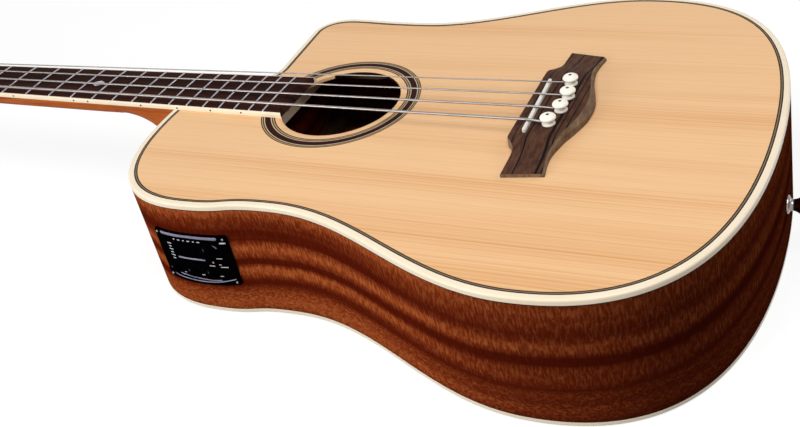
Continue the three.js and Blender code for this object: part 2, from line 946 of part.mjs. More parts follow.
// The crossed pair, with the tone bars, finger bars and soundhole bars that butt against it
function soundboardBraces() {
  const plateEnd = bridgePlateEnds().end;
  const onLeg = (share) => plateEnd + share * (legAtLining() - plateEnd);
  const legLength = (onLeg(legEndShare) - xBraceCentreX) / Math.cos(xBraceAngle * degrees);
  const bars = [xBraceAngle, -xBraceAngle].map((angle) => (
    bar(flat(xBraceCentreX, 0), angle, legLength, xBraceFore, braceWidth, braceHeight)
  ));
  toneBarStartShares.forEach((share, i) => {
    const start = flat(onLeg(share), -legY(onLeg(share)));
    const endX = plateEnd + toneBarEndShares[i] * (bodyTailX - tailBlockLength - plateEnd);
    const end = flat(endX, toneBarEndHalfShares[i] * lowerBoutHalf);
    bars.push(barBetween(start, end, braceWidth, braceHeight - overrun));
  });
  const holeBarY = rosetteOuter - braceWidth;
  const holeBarStart = transverseBraceX + transverseBraceWidth / 2 + holeBarGap;
  const holeBarEnd = xBraceCentreX - holeBarY / Math.tan(xBraceAngle * degrees);
  const holeBarMiddle = (holeBarStart + holeBarEnd) / 2;
  for (const side of [-1, 1]) {
    fingerBarXShares.forEach((share, i) => {
      const x = neckJoinX + share * bodyLength;
      const half = fingerBarLengths[i] / 2;
      bars.push(bar(flat(x, side * (legY(x) + half)), 90, half, half, braceWidth, fingerBarHeight));
    });
    const half = holeBarEnd - holeBarMiddle;
    bars.push(bar(flat(holeBarMiddle, side * holeBarY), 0, half, half, braceWidth, fingerBarHeight));
  }
  return join(bars);
}

function bridgePlateEnds() {
  const start = bridgeX - bridgeFrontStep / 2;
  return { start, end: start + bridgeWingDepth + bridgeFrontStep };
}

function bridgePlate() {
  const { start, end } = bridgePlateEnds();
  const high = -topThickness - seam;
  const low = high - bridgePlateThickness;
  const near = bridgeSideShift - bridgePlateHalf;
  return cut(box(start, end, near, near + 2 * bridgePlateHalf, low, high), pinBores());
}

const backBraceXShares = [0.14, 0.34, 0.56, 0.8];
const backBraceMarginShare = 0.93;

// Bars across the back, glued over the strip that covers its middle seam
function backBraces() {
  const outline = insetOutline(sideThickness + liningWidth + 2 * seam);
  const core = plate(outline, [], level(-topThickness), (x) => backZ(x) + backThickness + seam);
  const stripStart = neckJoinX + neckBlockLength + seam;
  const stripEnd = bodyTailX - tailBlockLength - 2 * seam;
  const strip = loft([stripStart, stripEnd].map((x) => {
    const low = backZ(x) + backThickness + seam;
    const half = backStripWidth / 2;
    const high = low + backStripHeight;
    return [vector(x, -half, low), vector(x, half, low), vector(x, half, high), vector(x, -half, high)];
  }));
  const bars = backBraceXShares.map((share) => {
    const x = neckJoinX + share * bodyLength;
    const low = backZ(x) - overrun;
    const high = backZ(x) + backThickness + backBraceHeight;
    const half = backBraceMarginShare * lowerBoutHalf;
    return keepWithin(core, box(x - backBraceWidth / 2, x + backBraceWidth / 2, -half, half, low, high));
  });
  return join([strip, ...bars]);
}

// The neck, its heel and the headstock
const neckRoundShare = 0.9;
const neckArcPoints = 9;
const neckStationShares = [0, 0.3, 0.6, 0.82, 1];
const heelLevelShares = [0.03, 0.12, 0.2, 0.3, 0.44, 0.66, 1];
const heelReachShares = [1, 0.86, 0.72, 0.58, 0.46, 0.38, 0.34];
const heelWidthShares = [0, 0.03, 0.1, 0.2, 0.36, 0.64, 1];
const heelRoundShare = 0.75;

function neckDepth(x) {
  const share = Math.min(Math.max(x / heelStartX, 0), 1);
  return neckDepthAtNut + share * (neckDepthAtHeel - neckDepthAtNut);
}

function neckSection(x) {
  const half = neckHalf(x);
  const depth = neckDepth(x);
  return Array.from({ length: neckArcPoints + 1 }, (_, i) => {
    const turn = Math.PI * i / neckArcPoints;
    return vector(x, half * Math.cos(turn), neckLine(x) - depth * Math.sin(turn) ** neckRoundShare);
  });
}

// Half width and forward reach of the heel at a share of its depth
function heelSection(level3, reach, narrowing) {
  const joint = neckJoinX - seam;
  const fullHalf = neckHalf(neckJoinX) - neckHalfInset;
  const half = fullHalf + narrowing * (heelHalfAtCap - fullHalf);
  const length = reach * (neckJoinX - heelStartX);
  return Array.from({ length: neckArcPoints + 1 }, (_, i) => {
    const turn = Math.PI * i / neckArcPoints;
    const side = Math.cos(turn);
    return vector(
      joint - length * Math.sin(turn) ** heelRoundShare,
      half * Math.sign(side) * Math.abs(side) ** heelRoundShare,
      -level3 * heelDepth,
    );
  });
}

const headOutlineShares = [
  [-0.03, 0.53], [0.03, 0.55], [0.12, 0.64], [0.2, 0.84], [0.27, 0.97], [0.36, 1],
  [0.62, 0.97], [0.85, 0.99], [0.96, 0.93], [1, 0.7], [0.985, 0.36], [0.97, 0],
];

function headOutline(startShare) {
  const upper = headOutlineShares
    .filter(([along]) => along >= startShare)
    .map(([along, side]) => flat(-along * headLength, side * headHalf));
  const lower = upper.slice(0, -1).reverse().map((p) => flat(p.x, -p.y));
  return [...upper, ...lower];
}

// The headstock's own frame: x back towards the nut, z out of its face
const head = new THREE.Group();
head.position.set(-nutThickness, 0, headFaceZ);
head.rotation.y = -headAngle * degrees;
head.updateMatrix();

function toNeckFrame(geometry) {
  return geometry.applyMatrix4(head.matrix);
}

function headPoint(along, side, height) {
  return vector(-along, side, height).applyMatrix4(head.matrix);
}

const posts = [
  { name: 'e', along: nearPostAlong, side: -nearPostSide, sign: -1, string: 0 },
  { name: 'a', along: farPostAlong, side: -farPostSide, sign: -1, string: 1 },
  { name: 'd', along: farPostAlong, side: farPostSide, sign: 1, string: 2 },
  { name: 'g', along: nearPostAlong, side: nearPostSide, sign: 1, string: 3 },
];
const headBackHeight = -veneerThickness - headThickness;
const gearHeight = headBackHeight - seam - housingDepth / 2;
const postFoot = headBackHeight - seam - housingDepth + seam;

const sleeveRadius = postRadius + runningGap + sleeveWall;

// Holes through the headstock for the sleeves that the posts turn in
function sleeveHoles() {
  return posts.map((entry) => rod(
    vector(-entry.along, entry.side, postHeight),
    vector(-entry.along, entry.side, postFoot),
    sleeveRadius + seam,
    controlSteps,
  ));
}

function neck() {
  const stations = neckStationShares.map((share) => -nutThickness + share * (neckJoinX - seam + nutThickness));
  const shaft = loft(stations.map(neckSection));
  const heel = loft(heelLevelShares.map((share, i) => heelSection(share, heelReachShares[i], heelWidthShares[i])));
  const tenonTop = -topBindingHeight - seam;
  const tenon = box(neckJoinX - 2 * overrun, neckJoinX + tenonLength, -tenonHalf, tenonHalf, -tenonBottom, tenonTop);
  const wood = headBackHeight;
  const headstock = toNeckFrame(cut(
    plate(headOutline(-1), [], level(-veneerThickness - seam), level(wood)),
    sleeveHoles(),
  ));
  return cut(join([shaft, heel, tenon, headstock]), [trussRoom()]);
}

function heelCap() {
  const outline = heelSection(1, heelReachShares.at(-1), 1).map((p) => flat(p.x, p.y));
  const high = -heelDepth - seam;
  return plate(outline, [], level(high), level(high - heelCapThickness));
}

function headVeneer() {
  return cut(plate(headOutline(0), [], level(0), level(-veneerThickness)), sleeveHoles());
}

function trussRod() {
  const half = trussRodWidth / 2;
  const low = -trussRodAxisDepth - trussRodHeight / 2;
  return box(overrun + 2 * seam, trussRodEnd, -half, half, low, low + trussRodHeight);
}

// The adjusting nut turns about the local x axis
function trussNut() {
  const body = rod(vector(seam, 0, 0), vector(trussNutLength, 0, 0), trussNutRadius, roundSteps);
  const socket = rod(
    vector(trussNutLength - trussSocketDepth, 0, 0),
    vector(trussNutLength + overrun, 0, 0),
    trussSocketRadius,
    wireSides,
  );
  return cut(body, [socket]);
}

// Fingerboard, its bindings, frets and marks
const boardEndGap = 0.5;
const boardScoopRadius = soundholeRadius + boardEndGap;
const boardSideAtEnd = boardHalf(soundholeX - boardScoopRadius) + boardBindingWidth + seam;
const boardEndX = soundholeX - Math.sqrt(boardScoopRadius ** 2 - boardSideAtEnd ** 2) + 2 * boardEndGap;
const crownShares = [-1, 0, 1];
const fretProfileShares = [[-0.5, 0], [-0.3, 1], [0.3, 1], [0.5, 0]];
const fretSeat = 0.06;
const boardStationShares = [0, 0.27, 0.54];

function boardScoop() {
  const low = vector(soundholeX, 0, -overrun);
  const high = vector(soundholeX, 0, boardTop + 2 * overrun);
  return rod(low, high, boardScoopRadius, 2 * holeSteps);
}

function boardSection(x) {
  const half = boardHalf(x);
  return [
    vector(x, half, boardBase(x)),
    vector(x, -half, boardBase(x)),
    ...crownShares.map((share) => vector(x, share * half, crownZ(x, share * half))),
  ];
}

const inlayLength = 15;
const inlayWidth = 9;
const inlayDepth = 1.2;
const inlayX = (fretX(fretsPerOctave - 1) + fretX(fretsPerOctave)) / 2;

// A diamond behind the twelfth fret
function inlayShape(gap) {
  const along = inlayLength / 2 + gap;
  const across = inlayWidth / 2 + gap;
  return [flat(inlayX + along, 0), flat(inlayX, across), flat(inlayX - along, 0), flat(inlayX, -across)];
}

// The fret's own profile, over the board and in its slot, as offsets along x and up
function fretProfile() {
  const tang = fretTangWidth / 2;
  const low = -fretTangDepth;
  const crown = fretProfileShares.map(([along, up]) => [along * fretWidth, fretSeat + up * fretHeight]);
  return [...crown, [tang, fretSeat], [tang, low], [-tang, low], [-tang, fretSeat]];
}

// A bar across the board that follows its crown, from a profile of offsets along x and up
function crownBar(x, profile) {
  return loft(crownShares.map((share) => {
    const y = share * boardHalf(x);
    return profile.map(([along, up]) => vector(x + along, y, crownZ(x, y) + up));
  }));
}

const fretNumbers = Array.from({ length: fretCount }, (_, i) => i + 1);

function fretSlot(x) {
  const half = fretTangWidth / 2 + seam;
  const reach = boardHalf(x) + overrun;
  const floor = boardEdgeZ(x) - fretTangDepth - seam;
  return box(x - half, x + half, -reach, reach, floor, boardTop + overrun);
}

// The thin bar that holds the frets of one set together, in a groove under the board
function fretSpine(gap) {
  const half = fretSpineWidth / 2 + gap;
  return loft([fretX(1) - gap - half, neckJoinX, fretX(fretCount) + gap + half].map((x) => {
    const high = crownZ(x, 0) - fretTangDepth + fretTangWidth + gap;
    const low = boardBase(x) + seam - 2 * gap;
    return [vector(x, -half, low), vector(x, half, low), vector(x, half, high), vector(x, -half, high)];
  }));
}

function fingerboard() {
  const stations = [...boardStationShares.map((share) => share * boardEndX), neckJoinX, boardEndX].map(boardSection);
  const floor = (x) => crownZ(x, 0) - inlayDepth;
  const pocket = plate(inlayShape(seam), [], level(boardTop + overrun), (x) => floor(x) - seam);
  const slots = fretNumbers.map((number) => fretSlot(fretX(number)));
  return cut(loft(stations), [boardScoop(), pocket, fretSpine(seam), ...slots]);
}

function inlay() {
  return plate(inlayShape(0), [], (x, y) => crownZ(x, y) - seam / 2, (x) => crownZ(x, 0) - inlayDepth);
}

function boardBinding(sign) {
  const section = (x) => {
    const inner = sign * (boardHalf(x) + seam);
    const outer = inner + sign * boardBindingWidth;
    const high = boardEdgeZ(x);
    const low = boardBase(x);
    return [vector(x, inner, low), vector(x, outer, low), vector(x, outer, high), vector(x, inner, high)];
  };
  return loft([0, neckJoinX, boardEndX].map(section));
}

function scoopedBinding(sign) {
  return cut(boardBinding(sign), [boardScoop()]);
}

function frets() {
  const profile = fretProfile();
  return join([fretSpine(0), ...fretNumbers.map((number) => crownBar(fretX(number), profile))]);
}

// The strings, from the ball under the bridge plate to the winding on the post
const nutSlotZ = fretTop + neckLine(0) + action;
const windingRise = 4.4;
const pinBendDrop = 0.3;

function windingRadius(number) {
  return postRadius + runningGap + seam + stringRadii[number];
}

function windingPoints(number) {
  const post = posts.find((entry) => entry.string === number);
  const radius = windingRadius(number);
  const pitch = 2 * stringRadii[number] + windingGap;
  const count = windingTurns * stepsPerTurn;
  return Array.from({ length: count + 1 }, (_, i) => {
    const turn = 2 * Math.PI * i / stepsPerTurn;
    const along = post.along + radius * Math.sin(turn);
    const side = post.side - post.sign * radius * Math.cos(turn);
    return headPoint(along, side, windingRise + pitch * i / stepsPerTurn);
  });
}

// Least distance between one turn of a winding and the next, less the string's thickness
function windingLeastGap(number) {
  const points = windingPoints(number);
  let least = Infinity;
  points.forEach((point, i) => {
    points.slice(i + stepsPerTurn / 2).forEach((other) => {
      least = Math.min(least, point.distanceTo(other));
    });
  });
  return least - 2 * stringRadii[number];
}

function stringPath(number) {
  const r = stringRadii[number];
  const y = stringY(number, stringSpreadAtSaddle);
  const nutY = stringY(number, stringSpreadAtNut);
  const pin = pinPlace(number);
  const dropX = pin.x - pinStringOffset;
  const plateLow = -topThickness - seam - bridgePlateThickness;
  const ballTop = plateLow - 2 * seam;
  const points = [];
  const radii = [];
  const add = (point, radius = r) => {
    points.push(point);
    radii.push(radius);
  };
  const ballShares = [[1, 0.4], [0.85, 0.85], [0.5, 1], [0.15, 0.85]];
  const ballX = dropX - ballRadius / 2 + seam;
  ballShares.forEach(([down, wide]) => add(vector(ballX, pin.y, ballTop - down * ballLength), wide * ballRadius));
  add(vector(ballX + (dropX - ballX) / 2, pin.y, ballTop));
  add(vector(dropX, pin.y, ballTop + ballRadius));
  const bendZ = bridgeHeight - pinBendDrop;
  for (const turn of [0, 30, 60, 90]) {
    const bend = turn * degrees;
    const forward = stringBendRadius * (1 - Math.cos(bend));
    add(vector(dropX - forward, pin.y, bendZ + stringBendRadius * Math.sin(bend)));
  }
  add(vector(saddleXAt(y) + saddleThickness / 2, y, saddleTop + seam + r));
  add(vector(0, nutY, nutSlotZ + r));
  add(vector(-nutThickness, nutY + (nutY - y) * nutThickness / scaleLength, nutSlotZ + r - seam));
  const approach = windingPoints(number)[0];
  approach.addScaledVector(headPoint(1, 0, 0).sub(headPoint(0, 0, 0)), -2 * r);
  add(approach);
  windingPoints(number).forEach((point) => add(point));
  return { points, radii };
}

function string(number) {
  const { points, radii } = stringPath(number);
  return sweep(points, radii);
}

// Room for the strings in the nut
function nutSlots() {
  return stringNames.map((_, number) => {
    const { points } = stringPath(number);
    const start = points.findIndex((p) => p.x <= 0);
    const [front, back, after] = points.slice(start, start + 3);
    const ahead = front.clone().addScaledVector(points[start - 1].clone().sub(front).normalize(), 2 * nutThickness);
    const behind = back.clone().addScaledVector(after.clone().sub(back).normalize(), 2 * nutThickness);
    const radius = stringRadii[number] + seam;
    return sweep([ahead, front, back, behind], [radius, radius, radius, radius], 8);
  });
}

function nut() {
  const half = boardHalf(0) + boardBindingWidth;
  const base = boardBase(0);
  const edge = boardEdgeZ(0) + fretHeight;
  const section = (x, top) => [
    vector(x, half, base),
    vector(x, -half, base),
    vector(x, -half, edge),
    vector(x, -half / 2, top),
    vector(x, half / 2, top),
    vector(x, half, edge),
  ];
  const back = -nutThickness + seam;
  const top = base + nutHeight;
  return cut(loft([section(-seam, top), section(back / 2, top), section(back, top - fretHeight)]), nutSlots());
}

// The bridge: outline and height at shares of its half length
const bridgeSpanShares = [1, 0.97, 0.84, 0.74, 0.68, 0.64, 0.6, 0.555, 0.48, 0.34, 0.15, 0];
const bridgeFrontShares = [0, 0, -0.02, -0.05, 0.05, 0.26, 0.56, 0.96, 1, 1, 1, 1];
const bridgeBellyShares = [0, -0.02, -0.18, -0.22, -0.18, -0.14, -0.08, 0, 0.13, 0.5, 0.9, 1];
const bridgeRiseShares = [0, 0.05, 0.2, 0.4, 0.55, 0.68, 0.82, 0.94, 1, 1, 1, 1];
const bridgeEndSlant = 0.055;
const bevelLeastShare = 0.4;
const frontBevel = 0.8;

function bridgeSection(i, sign) {
  const y = sign * bridgeSpanShares[i] * bridgeHalfLength;
  const front = bridgeX - bridgeFrontShares[i] * bridgeFrontStep;
  const back = bridgeX + bridgeWingDepth + bridgeBellyShares[i] * bridgeBelly;
  const high = bridgeWingHeight + bridgeRiseShares[i] * (bridgeHeight - bridgeWingHeight);
  const share = bevelLeastShare + (1 - bevelLeastShare) * Math.max(bridgeBellyShares[i], 0);
  return [
    [front, seam],
    [front, high - frontBevel],
    [front + frontBevel, high],
    [back - share * bridgeBevelWidth, high],
    [back, high - share * bridgeBevelDrop],
    [back, seam],
  ].map(([x, z]) => {
    const slanted = y * (1 - bridgeEndSlant * (x - front) / (back - front));
    return vector(x, bridgeSideShift + slanted, z);
  });
}

// A bar with round ends, turned to the saddle's slant
function saddleOutline(length, thickness) {
  const straight = (length - thickness) / 2;
  const slant = saddleSlant * degrees;
  const points = [];
  for (const end of [1, -1]) {
    for (const turn of [0, 45, 90, 135, 180]) {
      const bend = turn * degrees + (end < 0 ? Math.PI : 0);
      points.push(flat(thickness / 2 * Math.cos(bend), end * straight + thickness / 2 * Math.sin(bend)));
    }
  }
  return points.map((p) => p.rotateAround(flat(0, 0), slant).add(flat(saddleX, saddleSideShift)));
}

const saddleSlotFloor = bridgeHeight - saddleSlotDepth;

function bridge() {
  const count = bridgeSpanShares.length;
  const near = bridgeSpanShares.map((_, i) => bridgeSection(i, -1));
  const far = bridgeSpanShares.slice(0, count - 1).map((_, i) => bridgeSection(count - 2 - i, 1));
  const slotOutline = saddleOutline(saddleLength + 2 * seam, saddleThickness + 2 * seam);
  const slot = plate(slotOutline, [], level(bridgeHeight + overrun), level(saddleSlotFloor));
  return cut(loft([...near, ...far]), [slot, ...pinPassages()]);
}

function saddlePickup() {
  const low = saddleSlotFloor + seam;
  return plate(saddleOutline(saddleLength - seam, saddleThickness), [], level(low + pickupThickness), level(low));
}

function saddle() {
  const low = saddleSlotFloor + pickupThickness + 2 * seam;
  return plate(saddleOutline(saddleLength, saddleThickness), [], level(saddleTop), level(low));
}

const pinWaistShare = 0.62;
const pinCrownShare = 0.55;
const pinHeadUndersideShare = 0.3;

// A bridge pin in its own frame, with z=0 on the bridge's face and its tip below
function bridgePin() {
  const collarLow = seam;
  const collarHigh = collarLow + pinCollarHeight;
  const headLow = collarHigh + pinNeckHeight - pinCollarHeight + seam;
  const headHigh = headLow + pinHeadHeight;
  const profile = [
    [0, -pinLength],
    [pinTipRadius * pinWaistShare, -pinLength],
    [pinTipRadius, -pinLength + pinTipRadius],
    [pinShaftRadius, collarLow],
    [pinCollarRadius, collarLow],
    [pinCollarRadius, collarHigh - pinCollarHeight / 3],
    [pinShaftRadius, collarHigh],
    [pinShaftRadius, headLow],
    [pinHeadRadius, headLow + pinHeadUndersideShare * pinHeadHeight],
    [pinHeadRadius, headLow + pinCrownShare * pinHeadHeight],
    [pinHeadRadius * pinWaistShare, headHigh - pinHeadHeight / 8],
    [0, headHigh],
  ];
  const tip = -pinLength - overrun;
  const flute = rod(vector(-pinStringOffset, 0, tip), vector(-pinStringOffset, 0, headLow), pinFluteRadius, 8);
  const front = box(-pinHeadRadius, -pinStringOffset, -pinFluteRadius, pinFluteRadius, tip, headLow);
  return cut(turned(profile, smallSteps), [flute, front]);
}

// The tuning machines, in the headstock's frame
const toothTipShare = 0.33;
const toothRootShare = 0.58;
const toothTipSpan = 0.12;
const wormCentre = wheelPitchRadius + wormPitchRadius;
const wormPitch = 2 * Math.PI * wheelPitchRadius / wheelTeeth;
const wormTurns = 3;
const wormStepsPerTurn = 6;
const keyStartSide = headHalf + overrun;

function wormWheel() {
  const outline = [];
  const tip = wheelPitchRadius + toothTipShare * toothHeight;
  const root = wheelPitchRadius - toothRootShare * toothHeight;
  for (let tooth = 0; tooth < wheelTeeth; tooth++) {
    const corners = [[root, -1 / 2], [tip, -toothTipSpan], [tip, toothTipSpan]];
    for (const [radius, span] of corners) {
      const turn = 2 * Math.PI * (tooth + 1 / 2 + span) / wheelTeeth;
      outline.push(flat(radius * Math.cos(turn), radius * Math.sin(turn)));
    }
  }
  return plate(outline, [], level(gearHeight + wheelThickness / 2), level(gearHeight - wheelThickness / 2));
}

const postWaistShare = 0.86;
const postFootRadiusShare = 0.55;
const postSlotWidth = 2.8;
const postSlotDepth = 4;

function post() {
  const foot = postFootRadiusShare * postRadius;
  const profile = [
    [0, postFoot],
    [foot, postFoot],
    [foot, gearHeight - wheelThickness],
    [postRadius, gearHeight - wheelThickness],
    [postRadius, postHeight - postSlotDepth],
    [postRadius * postWaistShare, postHeight - postSlotDepth / 2],
    [postRadius, postHeight],
    [0, postHeight],
  ];
  const slot = box(
    -2 * postRadius,
    2 * postRadius,
    -postSlotWidth / 2,
    postSlotWidth / 2,
    postHeight - postSlotDepth,
    postHeight + overrun,
  );
  return cut(join([turned(profile, controlSteps), wormWheel()]), [slot]);
}

const wormThreadShares = [[-0.27, -0.75], [-0.12, 0.4], [0.12, 0.4], [0.27, -0.75]];

// A right-handed thread about the y axis, with a crest facing the wheel in the middle
function worm() {
  const steps = wormTurns * wormStepsPerTurn;
  return loft(Array.from({ length: steps + 1 }, (_, i) => {
    const turn = 2 * Math.PI * (i - steps / 2) / wormStepsPerTurn;
    const middle = wormPitch * turn / (2 * Math.PI);
    return wormThreadShares.map(([along, out]) => {
      const radius = wormPitchRadius + out * toothHeight;
      return vector(-radius * Math.cos(turn), middle + along * wormPitch, radius * Math.sin(turn));
    });
  }));
}

const keySectionShares = [[0, 0.3, 0.8], [0.1, 0.62, 0.9], [0.3, 0.95, 1], [0.6, 1, 1], [0.85, 0.78, 0.9], [1, 0.36, 0.6]];
const keySides = 8;

// A key with its shaft and worm, in a frame centred on the worm
function key(sign, side) {
  const start = sign * keyStartSide - side;
  const inner = -sign * (housingHalf - housingWall / 2);
  const shaft = rod(vector(0, inner, 0), vector(0, start + sign, 0), keyShaftRadius, smallSteps);
  const button = loft(keySectionShares.map(([along, wide, thick]) => (
    Array.from({ length: keySides }, (_, i) => {
      const turn = 2 * Math.PI * i / keySides;
      return vector(
        wide * keyHalfWidth * Math.cos(turn),
        start + sign * along * keyLength,
        thick * keyHalfThickness * Math.sin(turn),
      );
    })
  )));
  return join([shaft, worm(), button]);
}

const housingMargin = 1;
const housingHalf = wormTurns * wormPitch / 2 + wormPitch + housingMargin + housingWall;

// A gear housing under the headstock, with the sleeve that screws through to its bushing on the face
function tunerCasing() {
  const high = headBackHeight - seam;
  const low = high - housingDepth - housingWall;
  const backReach = wheelPitchRadius + toothHeight + housingMargin;
  const foreReach = wormCentre + wormPitchRadius + toothHeight + housingMargin;
  const inner = housingHalf - housingWall;
  const body = box(-backReach - housingWall, foreReach + housingWall, -housingHalf, housingHalf, low, high);
  const hollow = box(-backReach, foreReach, -inner, inner, low + housingWall, high - housingWall);
  const shaftHole = rod(
    vector(wormCentre, -2 * housingHalf, gearHeight),
    vector(wormCentre, 2 * housingHalf, gearHeight),
    keyShaftRadius + runningGap,
  );
  const sleeve = turned([
    [0, high - housingWall / 2],
    [sleeveRadius, high - housingWall / 2],
    [sleeveRadius, seam],
    [bushingRadius, seam],
    [bushingRadius, bushingHeight * 2 / 3],
    [bushingRadius - bushingHeight / 3, bushingHeight],
    [0, bushingHeight],
  ], controlSteps);
  const bore = rod(
    vector(0, 0, postFoot - runningGap),
    vector(0, 0, bushingHeight + overrun),
    postRadius + runningGap,
    controlSteps,
  );
  return cut(join([body, sleeve]), [hollow, shaftHole, bore]);
}

// The end pin screwed through the tail block, with a jack inside
const endPinWaistShare = 0.42;
const endPinRimShare = 0.86;
const endPinBaseShare = 0.14;

function endPin() {
  const base = bodyTailX + seam;
  const tip = base + endPinLength;
  const start = bodyTailX - endPinBarrelLength;
  const profile = [
    [0, start],
    [endPinBarrelRadius, start],
    [endPinBarrelRadius, base],
    [endPinBaseRadius, base],
    [endPinBaseRadius, base + endPinBaseShare * endPinLength],
    [endPinNeckRadius, base + 2 * endPinBaseShare * endPinLength],
    [endPinNeckRadius, base + endPinWaistShare * endPinLength],
    [endPinRimRadius, base + endPinRimShare * endPinLength],
    [endPinRimRadius, tip],
    [0, tip],
  ];
  const body = turned(profile).rotateY(Math.PI / 2).translate(0, 0, -endPinDepth);
  const bore = rod(
    vector(start + endPinBarrelRadius, 0, -endPinDepth),
    vector(tip + overrun, 0, -endPinDepth),
    endPinBoreRadius,
  );
  return cut(body, [bore]);
}

// Preamp pieces
function preampPanel() {
  const skin = sideSkin(
    panelStart,
    panelEnd,
    -panelTop,
    panelLow,
    panelFace,
    (x) => bassSideY(x) + seam,
  );
  const room = displayRoom(seam);
  const window = box(room.x[0], room.x[1], -room.face - overrun, -room.face + panelHeight, room.z[0], room.z[1]);
  return cut(skin, [window, ...controlHoles()]);
}

function preampHousing() {
  const body = sideSkin(
    housingStart,
    housingEnd,
    housingTop,
    housingLow,
    (x) => bassSideY(x),
    () => upperBoutHalf - housingReach,
  );
  const room = displayRoom(seam);
  const pocket = box(
    room.x[0],
    room.x[1],
    -room.face - overrun,
    -room.face + displayThickness + seam,
    room.z[0],
    room.z[1],
  );
  return cut(body, [pocket, ...controlHoles()]);
}

function preampDisplay() {
  const room = displayRoom(0);
  return box(room.x[0], room.x[1], -room.face - seam, -room.face + displayThickness, room.z[0], room.z[1]);
}

const knobBevelShare = 0.16;
const knobPointerDepth = 0.6;

// A knob in its own frame: z points out of the panel, and z=0 is the panel's face
function knob(radius, height) {
  const bevel = knobBevelShare * radius;
  const low = knobStandOff;
  const profile = [
    [0, -knobStemLength],
    [knobStemRadius, -knobStemLength],
    [knobStemRadius, low],
    [radius, low],
    [radius, low + height - bevel],
    [radius - bevel, low + height],
    [0, low + height],
  ];
  const pointer = box(
    -knobPointerDepth / 2,
    knobPointerDepth / 2,
    radius / 3,
    2 * radius,
    low + height - knobPointerDepth,
    low + height + overrun,
  );
  return cut(turned(profile, controlSteps), [pointer]);
}

function button() {
  const profile = [
    [0, -panelThickness - buttonTravel],
    [buttonRadius, -panelThickness - buttonTravel],
    [buttonRadius, buttonHeight - buttonTravel / 2],
    [buttonRadius - buttonTravel / 2, buttonHeight],
    [0, buttonHeight],
  ];
  return turned(profile, smallSteps);
}

// The assembly
function look(color, roughness, metalness = 0) {
  return new THREE.MeshStandardMaterial({ color, roughness, metalness });
}

const spruce = 0xe3b985;
const mahogany = 0x7a3416;
const darkMahogany = 0x9c5122;
const rosewood = 0x3b241b;
const cream = 0xf1e6cc;
const chrome = 0xc9ccd0;
const black = 0x121214;

const instrument = new THREE.Group();
instrument.rotation.y = Math.atan(-backSlope);
const neckGroup = new THREE.Group();
instrument.add(neckGroup);

function put(name, geometry, material, parent = instrument) {
  const mesh = new THREE.Mesh(geometry, material);
  mesh.name = name;
  parent.add(mesh);
  return mesh;
}

put('soundboard', soundboard(), look(spruce, 0.3));
put('rosette', rosette(), look(rosewood, 0.3));
put('top_purfling', topPurfling(), look(rosewood, 0.4));
put('top_binding', topBinding(), look(cream, 0.3));
put('back_binding', backBinding(), look(cream, 0.3));
put('side_bass', sideHalf(-1), look(mahogany, 0.25));
put('side_treble', sideHalf(1), look(mahogany, 0.25));
put('back_plate', backPlate(), look(mahogany, 0.25));
put('neck_block', neckBlock(), look(darkMahogany, 0.7));
put('tail_block', tailBlock(), look(darkMahogany, 0.7));
put('top_lining', topLining(), look(spruce, 0.7));
put('back_lining', backLining(), look(spruce, 0.7));
put('soundboard_braces', soundboardBraces(), look(spruce, 0.7));
put('transverse_brace', transverseBrace(), look(spruce, 0.7));
put('bridge_plate', bridgePlate(), look(spruce, 0.7));
put('back_braces', backBraces(), look(spruce, 0.7));

put('neck', neck(), look(darkMahogany, 0.35), neckGroup);
put('heel_cap', heelCap(), look(cream, 0.3), neckGroup);
put('truss_rod', trussRod(), look(chrome, 0.5, 1), neckGroup);
put('fingerboard', fingerboard(), look(rosewood, 0.5), neckGroup);
put('board_binding_bass', scoopedBinding(-1), look(cream, 0.35), neckGroup);
put('board_binding_treble', scoopedBinding(1), look(cream, 0.35), neckGroup);
put('frets', frets(), look(chrome, 0.3, 1), neckGroup);
put('octave_inlay', inlay(), look(cream, 0.2), neckGroup);
put('nut', nut(), look(cream, 0.4), neckGroup);
const trussAdjuster = put('truss_rod_nut', trussNut(), look(chrome, 0.4, 1), neckGroup);
trussAdjuster.position.set(trussRodEnd, 0, -trussRodAxisDepth);

put('bridge', bridge(), look(rosewood, 0.5));
put('saddle', saddle(), look(cream, 0.4));
put('saddle_pickup', saddlePickup(), look(chrome, 0.4, 1));
stringNames.forEach((name, i) => {
  const place = pinPlace(i);
  put(`bridge_pin_${name}`, bridgePin(), look(cream, 0.35)).position.set(place.x, place.y, bridgeHeight);
  put(`string_${name}`, string(i), look(chrome, 0.35, 1));
  console.log(`string_${name} winding least gap ${windingLeastGap(i).toFixed(2)} mm`);
});
put('end_pin', endPin(), look(chrome, 0.2, 1));

neckGroup.add(head);
put('head_veneer', headVeneer(), look(rosewood, 0.3), head);
for (const entry of posts) {
  put(`tuner_casing_${entry.name}`, tunerCasing(), look(chrome, 0.2, 1), head).position.set(-entry.along, entry.side, 0);
  const turner = put(`tuner_post_${entry.name}`, post(), look(chrome, 0.2, 1), head);
  turner.position.set(-entry.along, entry.side, 0);
  const handle = put(`tuner_key_${entry.name}`, key(entry.sign, entry.side), look(chrome, 0.2, 1), head);
  handle.position.set(-entry.along + wormCentre, entry.side, gearHeight);
}

put('preamp_panel', preampPanel(), look(black, 0.2));
put('preamp_housing', preampHousing(), look(black, 0.6));
put('preamp_display', preampDisplay(), look(black, 0.1));

// A control stands on the panel with its own z axis pointing out of the side
function putControl(name, geometry, place) {
  const mesh = put(name, geometry, look(black, 0.4));
  mesh.position.set(place.x, -controlFace(place), place.z);
  mesh.rotation.x = Math.PI / 2;
  return mesh;
}

putControl('volume_knob', knob(volumeKnobRadius, volumeKnobHeight), volumePlace);
tonePlaces.forEach((place) => putControl(`tone_knob_${place.name}`, knob(toneKnobRadius, toneKnobHeight), place));
putControl('notch_button', button(), notchPlace);

